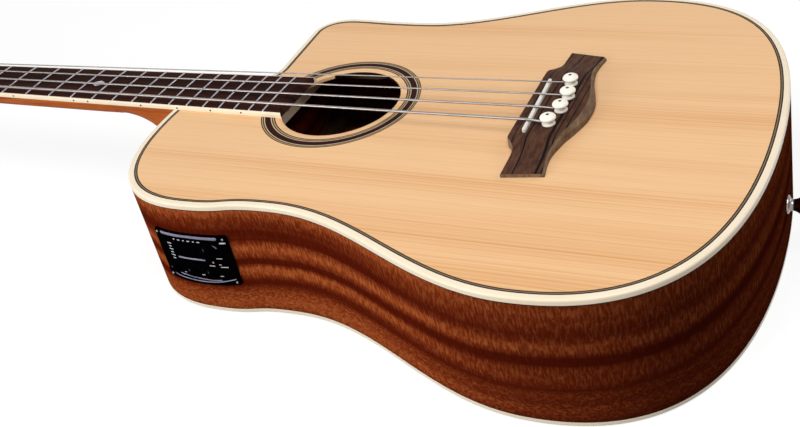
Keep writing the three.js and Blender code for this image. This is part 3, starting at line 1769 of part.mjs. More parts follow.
// The back comes to rest on z=0, with the origin under the middle of the whole instrument
const guitar = new THREE.Group();
guitar.add(instrument);
guitar.updateMatrixWorld(true);
const bounds = new THREE.Box3().setFromObject(guitar, true);
const middle = bounds.getCenter(vector(0, 0, 0));
instrument.position.set(-middle.x, -middle.y, -bounds.min.z);
guitar.updateMatrixWorld(true);

export default guitar;
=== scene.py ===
"""An acoustic bass guitar lying on its back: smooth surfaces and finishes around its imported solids."""
import math

import bpy
import numpy as np
from mathutils import Matrix, Vector


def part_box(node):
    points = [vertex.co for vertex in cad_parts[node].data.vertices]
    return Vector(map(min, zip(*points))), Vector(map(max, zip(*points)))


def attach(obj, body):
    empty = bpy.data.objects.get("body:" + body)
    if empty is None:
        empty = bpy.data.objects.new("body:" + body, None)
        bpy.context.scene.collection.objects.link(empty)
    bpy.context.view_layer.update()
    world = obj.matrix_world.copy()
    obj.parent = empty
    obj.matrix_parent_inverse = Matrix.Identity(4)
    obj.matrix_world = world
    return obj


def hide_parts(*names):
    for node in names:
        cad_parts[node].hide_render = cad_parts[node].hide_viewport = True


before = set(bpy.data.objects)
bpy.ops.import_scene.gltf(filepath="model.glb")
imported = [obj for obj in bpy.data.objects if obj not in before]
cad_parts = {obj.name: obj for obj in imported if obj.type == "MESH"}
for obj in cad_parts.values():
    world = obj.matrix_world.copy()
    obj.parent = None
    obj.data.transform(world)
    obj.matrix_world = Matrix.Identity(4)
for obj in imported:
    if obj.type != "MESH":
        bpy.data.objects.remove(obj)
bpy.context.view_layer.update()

# The maker's plan in millimetres: x from the nut to the tail, y to the treble side, z up from the soundboard
SCALE_LENGTH = 864.0
FRET_COUNT = 22
FRETS_PER_OCTAVE = 12
BOARD_AT_NUT = 38.9
BOARD_AT_LAST_FRET = 58.2
BOARD_EDGE = 4.0
BOARD_CROWN = 0.8
BOARD_BINDING = 1.5
FRET_WIDTH = 1.5
FRET_HEIGHT = 1.1
ACTION = 0.5
SEAM = 0.2
NECK_ANGLE = math.radians(0.3)
NECK_JOIN = 525.5
BODY_LENGTH = 527.0
TAIL = NECK_JOIN + BODY_LENGTH
UPPER_HALF = 155.5
WAIST_HALF = 147.2
LOWER_HALF = 208.0
HORN_HALF = 150.5
CUTAWAY = 592.0
DEPTH_AT_NECK = 105.0
DEPTH_AT_TAIL = 112.0
TOP_THICKNESS = 3.2
BACK_THICKNESS = 3.0
SIDE_THICKNESS = 2.2
BINDING_WIDTH = 5.0
TOP_BINDING = 4.4
BACK_BINDING = 4.0
PURFLING = 2.8
EDGE_LINE = 0.7
HOLE_X = 682.4
HOLE_RADIUS = 51.7
ROSETTE_INNER = 57.3
ROSETTE_OUTER = 69.6
ROSETTE_DEPTH = 1.2
BOARD_TOP = SEAM + BOARD_EDGE + BOARD_CROWN
FRET_TOP = BOARD_TOP + FRET_HEIGHT
BACK_SLOPE = (DEPTH_AT_TAIL - DEPTH_AT_NECK) / BODY_LENGTH

# The plan leans until the back lies level at height zero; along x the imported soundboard's tail edge places it
LEAN = math.atan(BACK_SLOPE)
lean_cos, lean_sin = math.cos(LEAN), math.sin(LEAN)
tail_edge = (TAIL - BINDING_WIDTH - SEAM) / 1000
PLAN_ORIGIN = np.array([
    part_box("soundboard")[1].x - lean_cos * tail_edge - lean_sin * TOP_THICKNESS / 1000, 0,
    lean_cos * (DEPTH_AT_NECK - NECK_JOIN * BACK_SLOPE) / 1000,
])


def placed(points):
    """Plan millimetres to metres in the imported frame: a turn about y by the lean, then a shift."""
    points = np.asarray(points, float) / 1000
    x, y, z = points[..., 0], points[..., 1], points[..., 2]
    return np.stack([lean_cos * x - lean_sin * z, y, lean_sin * x + lean_cos * z], -1) + PLAN_ORIGIN


def turned_by_lean(direction):
    """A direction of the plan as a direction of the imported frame."""
    return Vector((placed(direction) - placed(np.zeros(3))) * 1000)


# The camera of the photograph, in the plan's own frame
CAMERA_PLACE = (1145.08, -656.95, 435.11)
CAMERA_HEADING = -0.4413
CAMERA_DIP = 0.5103
CAMERA_ROLL = -0.1772
FOCAL_PIXELS = 1053.92
IMAGE_WIDTH = 800
IMAGE_HEIGHT = 427
OPTICAL_CENTRE = (500.98, 81.68)
SENSOR = 36.0


def photo_camera():
    """The camera's right, down and forward axes from heading, dip and roll, as a matrix."""
    forward = np.array([
        math.sin(CAMERA_HEADING) * math.cos(CAMERA_DIP),
        math.cos(CAMERA_HEADING) * math.cos(CAMERA_DIP),
        -math.sin(CAMERA_DIP),
    ])
    right = np.cross(forward, (0, 0, 1))
    right /= np.linalg.norm(right)
    down = np.cross(forward, right)
    c, s = math.cos(CAMERA_ROLL), math.sin(CAMERA_ROLL)
    right, down = c * right - s * down, s * right + c * down
    data = bpy.data.cameras.new("photo_camera")
    data.sensor_width = SENSOR
    data.lens = FOCAL_PIXELS * SENSOR / IMAGE_WIDTH
    data.shift_x = (IMAGE_WIDTH / 2 - OPTICAL_CENTRE[0]) / IMAGE_WIDTH
    data.shift_y = (OPTICAL_CENTRE[1] - IMAGE_HEIGHT / 2) / IMAGE_WIDTH
    data.clip_start = 0.05
    camera = bpy.data.objects.new("photo_camera", data)
    bpy.context.collection.objects.link(camera)
    axes = [turned_by_lean(a) for a in (right, -down, -forward)]
    camera.matrix_world = Matrix.Translation(Vector(placed(CAMERA_PLACE))) @ Matrix(axes).transposed().to_4x4()
    bpy.context.scene.camera = camera


photo_camera()

# ---- Mesh making


def grid_faces(rows, columns, close_rows=False, close_columns=False):
    """Quads of a grid of points, as index rows; a closed direction joins its last line to its first."""
    i = np.arange(rows if close_rows else rows - 1)[:, None]
    j = np.arange(columns if close_columns else columns - 1)[None, :]
    i2, j2 = (i + 1) % rows, (j + 1) % columns
    corners = [i * columns + j, i2 * columns + j, i2 * columns + j2, i * columns + j2]
    return np.stack([np.broadcast_to(c, (i.size, j.size)) for c in corners], -1).reshape(-1, 4)


def enclosed_volume(points, faces):
    """Signed volume inside a closed mesh, as the sum of the tetrahedra to the origin."""
    total = 0.0
    for face in (faces if isinstance(faces, list) else [faces]):
        face = np.asarray(face)
        if face.ndim == 1:
            face = face[None]
        for k in range(1, face.shape[1] - 1):
            a, b, c = points[face[:, 0]], points[face[:, k]], points[face[:, k + 1]]
            total += np.einsum("ij,ij->", a, np.cross(b, c))
    return total


def piece(name, points, faces, finish, slot, body="guitar", replaces=(), crease=35, uv=None, plan=True):
    """A mesh from an array of points and arrays of faces, turned outwards, smoothed up to the crease angle."""
    points = np.asarray(points, float).reshape(-1, 3)
    points = placed(points) if plan else points
    faces = faces if isinstance(faces, list) else [faces]
    if enclosed_volume(points - points.mean(0), faces) < 0:
        faces = [np.flip(np.atleast_2d(f), -1) for f in faces]
    mesh = bpy.data.meshes.new(name)
    mesh.from_pydata(points.tolist(), [], [row for f in faces for row in np.atleast_2d(f).tolist()])
    mesh.validate()
    if uv is not None:
        corner = np.zeros(len(mesh.loops), np.int32)
        mesh.loops.foreach_get("vertex_index", corner)
        layer = mesh.uv_layers.new(name="surface")
        layer.data.foreach_set("uv", np.asarray(uv, np.float32).reshape(-1, 2)[corner].ravel())
    mesh.shade_smooth()
    mesh.set_sharp_from_angle(angle=math.radians(crease))
    mesh.materials.append(finish)
    thing = bpy.data.objects.new(name, mesh)
    bpy.context.collection.objects.link(thing)
    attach(thing, body)
    if replaces:
        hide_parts(*replaces)
    return thing


def merged(*parts):
    """Several (points, face arrays) joined as one, with the face numbers moved along."""
    points, faces, start = [], [], 0
    for part_points, part_faces in parts:
        part_points = np.asarray(part_points, float).reshape(-1, 3)
        points.append(part_points)
        faces += [np.atleast_2d(f) + start for f in (part_faces if isinstance(part_faces, list) else [part_faces])]
        start += len(part_points)
    return np.concatenate(points), faces


def sections_part(sections):
    """Points and faces of a solid through a row of closed sections, with a flat face over each end."""
    sections = np.asarray(sections, float)
    rows, columns = sections.shape[:2]
    ends = [np.arange(columns)[::-1], np.arange(columns) + (rows - 1) * columns]
    return sections.reshape(-1, 3), [grid_faces(rows, columns, close_columns=True), *ends]


def skin(name, sections, finish, slot, **options):
    """One piece through a row of closed sections."""
    return piece(name, *sections_part(sections), finish, slot, **options)


def ringed(name, sections, finish, slot, **options):
    """One piece through sections that close in both directions, as a ring does."""
    sections = np.asarray(sections, float)
    return piece(name, sections, grid_faces(*sections.shape[:2], True, True), finish, slot, **options)


def whole_turn(steps):
    """Evenly spaced angles round a full circle, each once."""
    return np.linspace(0, 2 * math.pi, steps, endpoint=False)


def surface_map(along, across):
    """A surface map from a column of lengths and a row of shares."""
    return np.stack(np.broadcast_arrays(along, across), -1)


def at_height(line, z):
    """A line of (x, y) places at one height, or at a height for each place."""
    return np.column_stack([line, np.broadcast_to(z, len(line))])


def unit(vectors):
    """Each row of an array of directions brought to length one."""
    return vectors / np.linalg.norm(vectors, axis=1)[:, None]


def left_of(directions):
    """Directions in a plane, each turned a quarter to its left."""
    return np.stack([-directions[:, 1], directions[:, 0]], -1)


def squarish(wave, power):
    """A sine or cosine with its shoulders pushed out, for an outline between round and square."""
    return np.sign(wave) * np.abs(wave) ** power


def length_along(line):
    """The length of a line of points up to each of them."""
    return np.concatenate([[0], np.cumsum(np.linalg.norm(np.diff(line, axis=0), axis=1))])


def lathe_part(profile, sides=48, centre=(0, 0, 0), axis="z"):
    """A profile of (radius, height) turned about an axis; its first and last radius are zero."""
    profile = np.asarray(profile, float)
    inner = profile[1:-1]
    turn = whole_turn(sides)
    ring = np.stack([
        inner[:, :1] * np.cos(turn),
        inner[:, :1] * np.sin(turn),
        np.broadcast_to(inner[:, 1:], (len(inner), sides)),
    ], -1).reshape(-1, 3)
    poles = np.array([[0, 0, profile[0, 1]], [0, 0, profile[-1, 1]]])
    points = np.concatenate([ring, poles])
    j = np.arange(sides)
    k = (j + 1) % sides
    last = (len(inner) - 1) * sides
    low = np.stack([np.full(sides, len(ring)), k, j], -1)
    high = np.stack([np.full(sides, len(ring) + 1), last + j, last + k], -1)
    if axis == "x":
        points = points[:, [2, 0, 1]]
    if axis == "-y":
        points = points[:, [0, 2, 1]] * (1, -1, 1)
    return points + np.asarray(centre, float), [grid_faces(len(inner), sides, close_columns=True), low, high]


def smooth_line(points, steps):
    """A Catmull-Rom curve through the points, with the given number of steps between each two."""
    points = np.asarray(points, float)
    padded = np.concatenate([2 * points[:1] - points[1:2], points, 2 * points[-1:] - points[-2:-1]])
    t = np.linspace(0, 1, steps, endpoint=False)[:, None]
    spans = []
    for a, b, c, d in zip(padded, padded[1:], padded[2:], padded[3:]):
        spans.append((2 * b + (c - a) * t + (2 * a - 5 * b + 4 * c - d) * t ** 2
                      + (3 * b - a - 3 * c + d) * t ** 3) / 2)
    return np.concatenate([*spans, points[-1:]])


def rounded(corner, start, end, radius, steps=5):
    """Points of an arc-like curve that rounds a corner between two directions."""
    corner, start, end = (np.asarray(p, float) for p in (corner, start, end))
    a = corner + (start - corner) / np.linalg.norm(start - corner) * radius
    b = corner + (end - corner) / np.linalg.norm(end - corner) * radius
    t = np.linspace(0, 1, steps)[:, None]
    return (1 - t) ** 2 * a + 2 * t * (1 - t) * corner + t ** 2 * b


TUBE_SIDES = 12


def tube_sections(path, radii):
    """Circles square to a path, carried along it without twist."""
    path = np.asarray(path, float)
    ahead = unit(np.gradient(path, axis=0))
    side = np.zeros_like(path)
    side[0] = np.cross(ahead[0], (0.3, 1, 0.2))
    for i in range(1, len(path)):
        side[i] = side[i - 1] - ahead[i] * np.dot(side[i - 1], ahead[i])
        side[i] /= np.linalg.norm(side[i])
    side[0] /= np.linalg.norm(side[0])
    up = np.cross(ahead, side)
    turn = whole_turn(TUBE_SIDES)
    radii = np.broadcast_to(radii, len(path))[:, None, None]
    return path[:, None] + radii * (side[:, None] * np.cos(turn)[:, None] + up[:, None] * np.sin(turn)[:, None])


# ---- Finishes


def rgb(red, green, blue):
    """A colour given as 0 to 255 steps of display brightness, as the linear values that shaders use."""
    share = np.array([red, green, blue]) / 255
    linear = np.where(share <= 0.04045, share / 12.92, ((share + 0.055) / 1.055) ** 2.4)
    return (*linear.tolist(), 1.0)


class Graph:
    """Short ways to add and join the nodes of one tree."""

    def __init__(self, tree):
        self.tree = tree

    def add(self, kind, values=None, **settings):
        made = self.tree.nodes.new(kind)
        for key, value in settings.items():
            setattr(made, key, value)
        for key, value in (values or {}).items():
            if isinstance(value, bpy.types.NodeSocket):
                self.tree.links.new(value, made.inputs[key])
            else:
                made.inputs[key].default_value = value
        return made

    def sum(self, operation, first, second=0.0, third=0.0, clamp=False):
        values = {0: first, 1: second, 2: third}
        return self.add("ShaderNodeMath", values, operation=operation, use_clamp=clamp).outputs[0]

    def times(self, first, second):
        return self.sum("MULTIPLY", first, second)

    def axes(self, vector):
        return self.add("ShaderNodeSeparateXYZ", {0: vector}).outputs

    def noise(self, vector, scale, detail=2.0, roughness=0.5, distortion=0.0):
        values = {"Vector": vector, "Scale": scale, "Detail": detail, "Roughness": roughness, "Distortion": distortion}
        return self.add("ShaderNodeTexNoise", values).outputs["Fac"]

    def line_noise(self, place, detail=2.0):
        made = self.add("ShaderNodeTexNoise", {"W": place, "Scale": 1.0, "Detail": detail}, noise_dimensions="1D")
        return made.outputs["Fac"]

    def ramp(self, factor, *stops):
        made = self.add("ShaderNodeValToRGB", {"Fac": factor})
        elements = made.color_ramp.elements
        while len(elements) < len(stops):
            elements.new(0.5)
        for element, (place, colour) in zip(elements, stops):
            element.position = place
            element.color = colour if isinstance(colour, tuple) else (colour, colour, colour, 1)
        return made.outputs["Color"]

    def mix(self, factor, first, second, blend="MIX"):
        made = self.add("ShaderNodeMix", {0: factor, 6: first, 7: second}, data_type="RGBA", blend_type=blend)
        return made.outputs[2]

    def step(self, value, low, high, out_low=0.0, out_high=1.0):
        values = {0: value, 1: low, 2: high, 3: out_low, 4: out_high}
        return self.add("ShaderNodeMapRange", values).outputs[0]

    def scaled(self, vector, x, y, z):
        return self.add("ShaderNodeVectorMath", {0: vector, 1: (x, y, z)}, operation="MULTIPLY").outputs[0]

    def group(self, tree, values):
        return self.add("ShaderNodeGroup", values, node_tree=tree).outputs


def shared_effect(name, outputs, **sizes):
    """An empty node group with a vector and named sizes to take; returns its graph, its inputs and its output node."""
    tree = bpy.data.node_groups.new(name, "ShaderNodeTree")
    tree.interface.new_socket(name="Vector", in_out="INPUT", socket_type="NodeSocketVector")
    for socket, value in sizes.items():
        made = tree.interface.new_socket(name=socket, in_out="INPUT", socket_type="NodeSocketFloat")
        made.default_value = value
    for socket in outputs:
        tree.interface.new_socket(name=socket, in_out="OUTPUT", socket_type="NodeSocketFloat")
    graph = Graph(tree)
    return graph, graph.add("NodeGroupInput").outputs, graph.add("NodeGroupOutput")


def finished_effect(graph, out, **values):
    """Feeds what a group gives out, and returns its tree."""
    for socket, value in values.items():
        graph.tree.links.new(value, out.inputs[socket])
    return graph.tree


def grain_effect():
    """Wood grain along x: year lines by their own unevenly spaced noise, fine fibres and slow broad tone."""
    outputs = ("Lines", "Fibre", "Broad")
    graph, given, out = shared_effect("Wood grain", outputs, Lines=600.0, Wander=0.004, Fibres=900.0)
    axes = graph.axes(given["Vector"])
    drift = graph.noise(graph.scaled(given["Vector"], 1.7, 7, 7), 1.0, 1.5)
    drift = graph.times(graph.sum("SUBTRACT", drift, 0.5), given["Wander"])
    across = graph.sum("ADD", graph.sum("ADD", axes[1], graph.times(axes[2], 0.45)), drift)
    lines = graph.line_noise(graph.times(across, given["Lines"]), 1.5)
    along = graph.times(axes[0], graph.times(given["Fibres"], 0.03))
    spread = graph.times(across, given["Fibres"])
    depth = graph.times(axes[2], given["Fibres"])
    fibre_place = graph.add("ShaderNodeCombineXYZ", {0: along, 1: spread, 2: depth}).outputs[0]
    fibre = graph.noise(fibre_place, 1.0, 3.0, 0.6)
    broad_place = graph.add("ShaderNodeCombineXYZ", {
        0: graph.times(axes[0], 1.1),
        1: graph.times(across, 26.0),
        2: graph.times(axes[2], 9.0),
    }).outputs[0]
    broad = graph.noise(broad_place, 1.0, 2.5, 0.55)
    return finished_effect(graph, out, Lines=lines, Fibre=fibre, Broad=broad)


def ribbon_effect():
    """Ribbon figure along x: wavy bands across y, short cross flecks that show in the light bands, and pores."""
    graph, given, out = shared_effect("Ribbon figure", ("Band", "Fleck", "Pore"), Bands=42.0, Wander=0.02)
    axes = graph.axes(given["Vector"])
    slow = graph.noise(graph.scaled(given["Vector"], 4.5, 5, 5), 1.0, 1.0)
    drift = graph.times(graph.sum("SUBTRACT", slow, 0.5), given["Wander"])
    across = graph.sum("ADD", axes[1], drift)
    band = graph.line_noise(graph.times(across, given["Bands"]), 2.2)
    fleck = graph.noise(graph.scaled(given["Vector"], 620, 210, 210), 1.0, 2.5, 0.65, 0.6)
    pore = graph.noise(graph.scaled(given["Vector"], 130, 1500, 1500), 1.0, 1.0)
    return finished_effect(graph, out, Band=band, Fleck=fleck, Pore=pore)


def handling_effect():
    """Marks of use: broad smudges and hair-thin scratches in stretched noise."""
    graph, given, out = shared_effect("Handling marks", ("Smudge", "Scratch"), Size=60.0)
    smudge = graph.noise(given["Vector"], given["Size"], 3.0, 0.6)
    thin = graph.noise(graph.scaled(given["Vector"], 90, 1400, 1400), 1.0, 2.0, 0.7)
    return finished_effect(graph, out, Smudge=smudge, Scratch=graph.step(thin, 0.62, 0.72))


WOOD_GRAIN = grain_effect()
RIBBON_FIGURE = ribbon_effect()
HANDLING = handling_effect()


def begin(name, **constants):
    """A new material with its graph, its shader and its object coordinates."""
    material = bpy.data.materials.new(name)
    material.use_nodes = True
    material.node_tree.nodes.clear()
    graph = Graph(material.node_tree)
    shader = graph.add("ShaderNodeBsdfPrincipled")
    for socket, value in constants.items():
        shader.inputs[socket.replace("_", " ")].default_value = value
    out = graph.add("ShaderNodeOutputMaterial")
    graph.tree.links.new(shader.outputs[0], out.inputs[0])
    coordinates = graph.add("ShaderNodeTexCoord").outputs
    return material, graph, shader, coordinates


BUMP_REACH = 0.0002


def join(graph, shader, colour=None, roughness=None, height=None, bump=0.1):
    """Feeds the changing values into the shader, with the height through a bump node."""
    for socket, value in (("Base Color", colour), ("Roughness", roughness)):
        if value is not None:
            graph.tree.links.new(value, shader.inputs[socket])
    if height is not None:
        raised = graph.add("ShaderNodeBump", {"Strength": bump, "Distance": BUMP_REACH, "Height": height})
        graph.tree.links.new(raised.outputs[0], shader.inputs["Normal"])


def spruce(name, light, dark, lines=520.0, gloss=0.35):
    """Pale softwood with thin year lines, wider darker streaks in places and fine fibres."""
    material, graph, shader, place = begin(name, Specular_IOR_Level=0.12, Coat_Weight=0.04, Coat_Roughness=0.16)
    grain = graph.group(WOOD_GRAIN, {"Vector": place["Object"], "Lines": lines, "Wander": 0.012, "Fibres": 1100.0})
    line = graph.step(grain["Lines"], 0.42, 0.74)
    streak = graph.step(grain["Broad"], 0.50, 0.74)
    amount = graph.sum("MULTIPLY", line, graph.sum("MULTIPLY_ADD", streak, 0.75, 0.22), clamp=True)
    tone = graph.mix(graph.times(streak, 0.38), light, dark)
    tone = graph.mix(amount, tone, dark)
    fibre = graph.step(grain["Fibre"], 0.3, 0.75, 0.0, 0.16)
    tone = graph.mix(fibre, tone, dark)
    roughness = graph.step(grain["Fibre"], 0.2, 0.8, gloss, gloss + 0.1)
    join(graph, shader, tone, roughness, grain["Fibre"], 0.05)
    return material


def ribboned(name, light, middle, dark):
    """Red-brown figured hardwood under gloss: dark and light ribbons, cross flecks and thin pores."""
    material, graph, shader, place = begin(name, Specular_IOR_Level=0.3, Coat_Weight=0.35, Coat_Roughness=0.1)
    figure = graph.group(RIBBON_FIGURE, {"Vector": place["Object"], "Bands": 46.0, "Wander": 0.06})
    tone = graph.ramp(figure["Band"], (0.34, dark), (0.46, middle), (0.60, light), (0.72, middle))
    in_light = graph.step(figure["Band"], 0.36, 0.58, 0.15, 0.8)
    fleck = graph.times(graph.step(figure["Fleck"], 0.42, 0.68), in_light)
    bright = graph.mix(1.0, tone, rgb(214, 130, 72), "SCREEN")
    tone = graph.mix(graph.times(fleck, 0.34), tone, bright)
    pore = graph.step(figure["Pore"], 0.60, 0.74, 0.0, 0.45)
    tone = graph.mix(pore, tone, dark)
    roughness = graph.step(figure["Fleck"], 0.3, 0.7, 0.34, 0.48)
    join(graph, shader, tone, roughness, figure["Pore"], 0.04)
    return material


def banded_side(name, light, middle, dark):
    """Figured side wood: long bands down the side's height, with short cross flecks in the light ones, and painted
    shade from the lower bout round to the tail.
    """
    material, graph, shader, place = begin(name, Specular_IOR_Level=0.0)
    along, height, _ = graph.axes(place["UV"])
    slow = graph.noise(graph.scaled(place["UV"], 5, 4, 0), 1.0, 1.5)
    share = graph.sum("MULTIPLY_ADD", height, -9.4, graph.sum("MULTIPLY_ADD", slow, 0.07, -0.035))
    near_tail = graph.step(along, 0.36, 0.52)
    # Painted shade along the side's length: darkest from the lower bout round to the tail
    lower_bout_shade = graph.times(graph.step(along, 0.42, 0.6, 0.0, 0.55), graph.step(along, 1.2, 0.95))
    band = graph.mix(near_tail, graph.ramp(share, *SIDE_BANDS), graph.ramp(share, *TAIL_BANDS))
    thin = graph.noise(graph.scaled(place["UV"], 3, 120, 0), 1.0, 2.0)
    band = graph.sum("ADD", band, graph.sum("MULTIPLY_ADD", thin, 0.5, -0.25), clamp=True)
    tone = graph.ramp(band, (0.02, dark), (0.5, middle), (0.95, light))
    strokes = graph.noise(graph.scaled(place["UV"], 560, 130, 0), 1.0, 3.0, 0.65, 0.4)
    mottle = graph.noise(graph.scaled(place["UV"], 330, 480, 0), 1.0, 3.0, 0.7, 0.8)
    fleck = graph.mix(graph.step(share, 0.66, 0.8), strokes, mottle)
    amount = graph.times(graph.step(fleck, 0.46, 0.66), graph.step(band, 0.05, 0.7, 0.06, 1.0))
    tone = graph.mix(graph.times(amount, 0.6), tone, rgb(196, 112, 62))
    gap = graph.times(graph.step(fleck, 0.46, 0.34), graph.step(band, 0.05, 0.7, 0.1, 0.75))
    tone = graph.mix(graph.times(gap, 0.6), tone, dark)
    pore = graph.noise(graph.scaled(place["UV"], 130, 1500, 0), 1.0, 1.0)
    tone = graph.mix(graph.step(pore, 0.60, 0.74, 0.0, 0.35), tone, dark)
    # The painted shade is mixed in towards a near-black brown
    tone = graph.mix(lower_bout_shade, tone, rgb(36, 7, 4))
    join(graph, shader, tone, graph.step(fleck, 0.3, 0.7, 0.45, 0.6), pore, 0.04)
    return material


def close_wood(name, light, dark, streak, gloss=0.42, lines=420.0, streaks=0.5):
    """Close-grained wood with darker streaks along its grain."""
    material, graph, shader, place = begin(name, Specular_IOR_Level=0.03)
    grain = graph.group(WOOD_GRAIN, {"Vector": place["Object"], "Lines": lines, "Wander": 0.02, "Fibres": 1500.0})
    tone = graph.mix(graph.step(grain["Fibre"], 0.3, 0.72), light, dark)
    tone = graph.mix(graph.step(grain["Broad"], 0.5, 0.62, 0.0, streaks), tone, streak)
    tone = graph.mix(graph.step(grain["Lines"], 0.56, 0.72, 0.0, 0.7), tone, streak)
    roughness = graph.step(grain["Fibre"], 0.25, 0.75, gloss, gloss + 0.16)
    join(graph, shader, tone, roughness, grain["Fibre"], 0.12)
    return material


def bridge_wood(name, light, dark, streak, worn):
    """Dark wood with its grain along y: wavy black streaks on mottled brown, and a painted sheen that makes the faces
    that fall away paler.
    """
    material, graph, shader, place = begin(name, Specular_IOR_Level=0.05)
    vector = graph.add("ShaderNodeMapping", {"Vector": place["Object"], "Rotation": (0, 0, math.pi / 2)}).outputs[0]
    grain = graph.group(WOOD_GRAIN, {"Vector": vector, "Lines": 290.0, "Wander": 0.06, "Fibres": 900.0})
    mottle = graph.noise(graph.scaled(place["Object"], 260, 90, 90), 1.0, 3.0, 0.6)
    tone = graph.mix(graph.step(mottle, 0.35, 0.65), dark, light)
    tone = graph.mix(graph.step(grain["Fibre"], 0.4, 0.75, 0.0, 0.5), tone, dark)
    tone = graph.mix(graph.step(grain["Lines"], 0.6, 0.68), tone, streak)
    # Painted sheen: faces that tilt away from level are mixed towards the paler tone passed in as worn, by the way they
    # face
    upright = graph.axes(graph.add("ShaderNodeNewGeometry").outputs["Normal"])[2]
    sloped_face_sheen = graph.mix(graph.step(mottle, 0.35, 0.65, 0.0, 0.6), worn, dark)
    tone = graph.mix(graph.step(upright, 0.93, 0.8, 0.0, 0.85), tone, sloped_face_sheen)
    join(graph, shader, tone, graph.step(grain["Fibre"], 0.25, 0.75, 0.5, 0.66), grain["Fibre"], 0.12)
    return material


def scuffed_gloss(graph, marks, gloss, spread, scuff):
    """Roughness between a gloss and a little more, by smudges, with scratches on top."""
    smudged = graph.step(marks["Smudge"], 0.3, 0.8, gloss, gloss + spread)
    return graph.sum("MULTIPLY_ADD", marks["Scratch"], scuff, smudged)


def moulded(name, colour, worn, gloss=0.25, coat=0.0, size=55.0, specular=0.5):
    """Plain moulded or cast material, with slight smudges and fine scratches in its gloss and tone."""
    material, graph, shader, place = begin(name, Coat_Weight=coat, Coat_Roughness=0.06, Specular_IOR_Level=specular)
    marks = graph.group(HANDLING, {"Vector": place["Object"], "Size": size})
    tone = graph.mix(graph.step(marks["Smudge"], 0.35, 0.75, 0.0, 0.6), colour, worn)
    join(graph, shader, tone, scuffed_gloss(graph, marks, gloss, 0.1, 0.08), marks["Scratch"], 0.02)
    return material


def metal(name, colour, worn, gloss=0.16, size=90.0):
    """Bright metal with smudged gloss."""
    material, graph, shader, place = begin(name, Metallic=1.0)
    marks = graph.group(HANDLING, {"Vector": place["Object"], "Size": size})
    tone = graph.mix(graph.step(marks["Smudge"], 0.4, 0.8), colour, worn)
    join(graph, shader, tone, scuffed_gloss(graph, marks, gloss, 0.12, 0.15), marks["Scratch"], 0.03)
    return material


def wound_steel(name):
    """Round-wound string: fine rings along the surface map's length over bright steel."""
    material, graph, shader, place = begin(name, Metallic=1.0)
    length = graph.axes(place["UV"])[0]
    wave = graph.sum("SINE", graph.times(length, 9000.0))
    ring = graph.step(wave, -1.0, 1.0)
    marks = graph.group(HANDLING, {"Vector": place["Object"], "Size": 40.0})
    tone = graph.mix(ring, rgb(124, 118, 115), rgb(156, 150, 146))
    tone = graph.mix(graph.step(marks["Smudge"], 0.45, 0.8, 0.0, 0.5), tone, rgb(108, 101, 97))
    join(graph, shader, tone, graph.step(marks["Smudge"], 0.3, 0.8, 0.3, 0.4), ring, 0.04)
    return material


def striped_trim(name, stops):
    """Thin strips of dyed wood side by side, across the surface map's second direction."""
    material, graph, shader, place = begin(name, Specular_IOR_Level=0.02)
    across = graph.axes(place["UV"])[1]
    tone = graph.ramp(across, *stops)
    grain = graph.group(WOOD_GRAIN, {"Vector": place["Object"], "Lines": 900.0, "Wander": 0.03, "Fibres": 1800.0})
    tone = graph.mix(graph.step(grain["Fibre"], 0.35, 0.75, 0.0, 0.35), tone, rgb(40, 22, 16))
    join(graph, shader, tone, graph.step(grain["Fibre"], 0.3, 0.7, 0.3, 0.4), grain["Fibre"], 0.04)
    return material


def pearl(name):
    """Shell: soft bands of cool and warm pale tones under a clear coat."""
    material, graph, shader, place = begin(name, Coat_Weight=0.6, Coat_Roughness=0.05, Roughness=0.25)
    bands = graph.noise(graph.scaled(place["Object"], 120, 300, 300), 1.0, 2.0, 0.5, 1.2)
    tone = graph.ramp(bands, (0.3, rgb(150, 160, 178)), (0.5, rgb(214, 218, 224)), (0.7, rgb(196, 176, 186)))
    join(graph, shader, tone)
    return material


# How light the side wood is, over the share of its height from the top edge
SIDE_BANDS = (
    (0.0, 0.8), (0.06, 0.85), (0.13, 0.45), (0.2, 0.1), (0.32, 0.04), (0.365, 0.5),
    (0.41, 0.95), (0.455, 0.5), (0.5, 0.04), (0.545, 0.1), (0.59, 0.8), (0.64, 0.72),
    (0.69, 0.12), (0.735, 0.04), (0.79, 0.5), (0.87, 0.7), (0.94, 0.78), (1.0, 0.3),
)
# The same nearer the tail, where the first dark band fades and the rest is darker
TAIL_BANDS = (
    (0.0, 0.45), (0.1, 0.6), (0.2, 0.4), (0.27, 0.2), (0.31, 0.3), (0.37, 0.7), (0.42, 0.5), (0.47, 0.06), (0.52, 0.0),
    (0.57, 0.35), (0.63, 0.5), (0.69, 0.2), (0.73, 0.08), (0.78, 0.4), (0.85, 0.25), (0.9, 0.5), (1.0, 0.15),
)
SPRUCE_TOP = spruce("spruce_top", rgb(239, 195, 147), rgb(213, 153, 97))
BRACE_WOOD = spruce("brace_wood", rgb(240, 214, 188), rgb(216, 186, 154), 420.0, 0.6)
# Dark spruce for the linings, braces and plate inside the body: painted shade for the dark inside of the box
INTERIOR_SHADE_WOOD = spruce("interior_shade_wood", rgb(96, 74, 56), rgb(66, 48, 36), 420.0, 0.7)
SAPELE_SIDE = banded_side("sapele_side", rgb(160, 76, 34), rgb(118, 43, 17), rgb(80, 20, 7))
SAPELE_BACK = ribboned("sapele_back", rgb(138, 62, 27), rgb(98, 36, 16), rgb(46, 13, 7))
BLOCK_WOOD = close_wood("block_wood", rgb(130, 70, 40), rgb(96, 46, 26), rgb(60, 28, 16), gloss=0.6)
NECK_WOOD = close_wood("neck_wood", rgb(212, 114, 50), rgb(176, 86, 36), rgb(120, 50, 22), gloss=0.4, streaks=0.35)
BOARD_WOOD = close_wood("board_wood", rgb(62, 33, 26), rgb(40, 19, 15), rgb(16, 8, 7), gloss=0.65, lines=300.0)
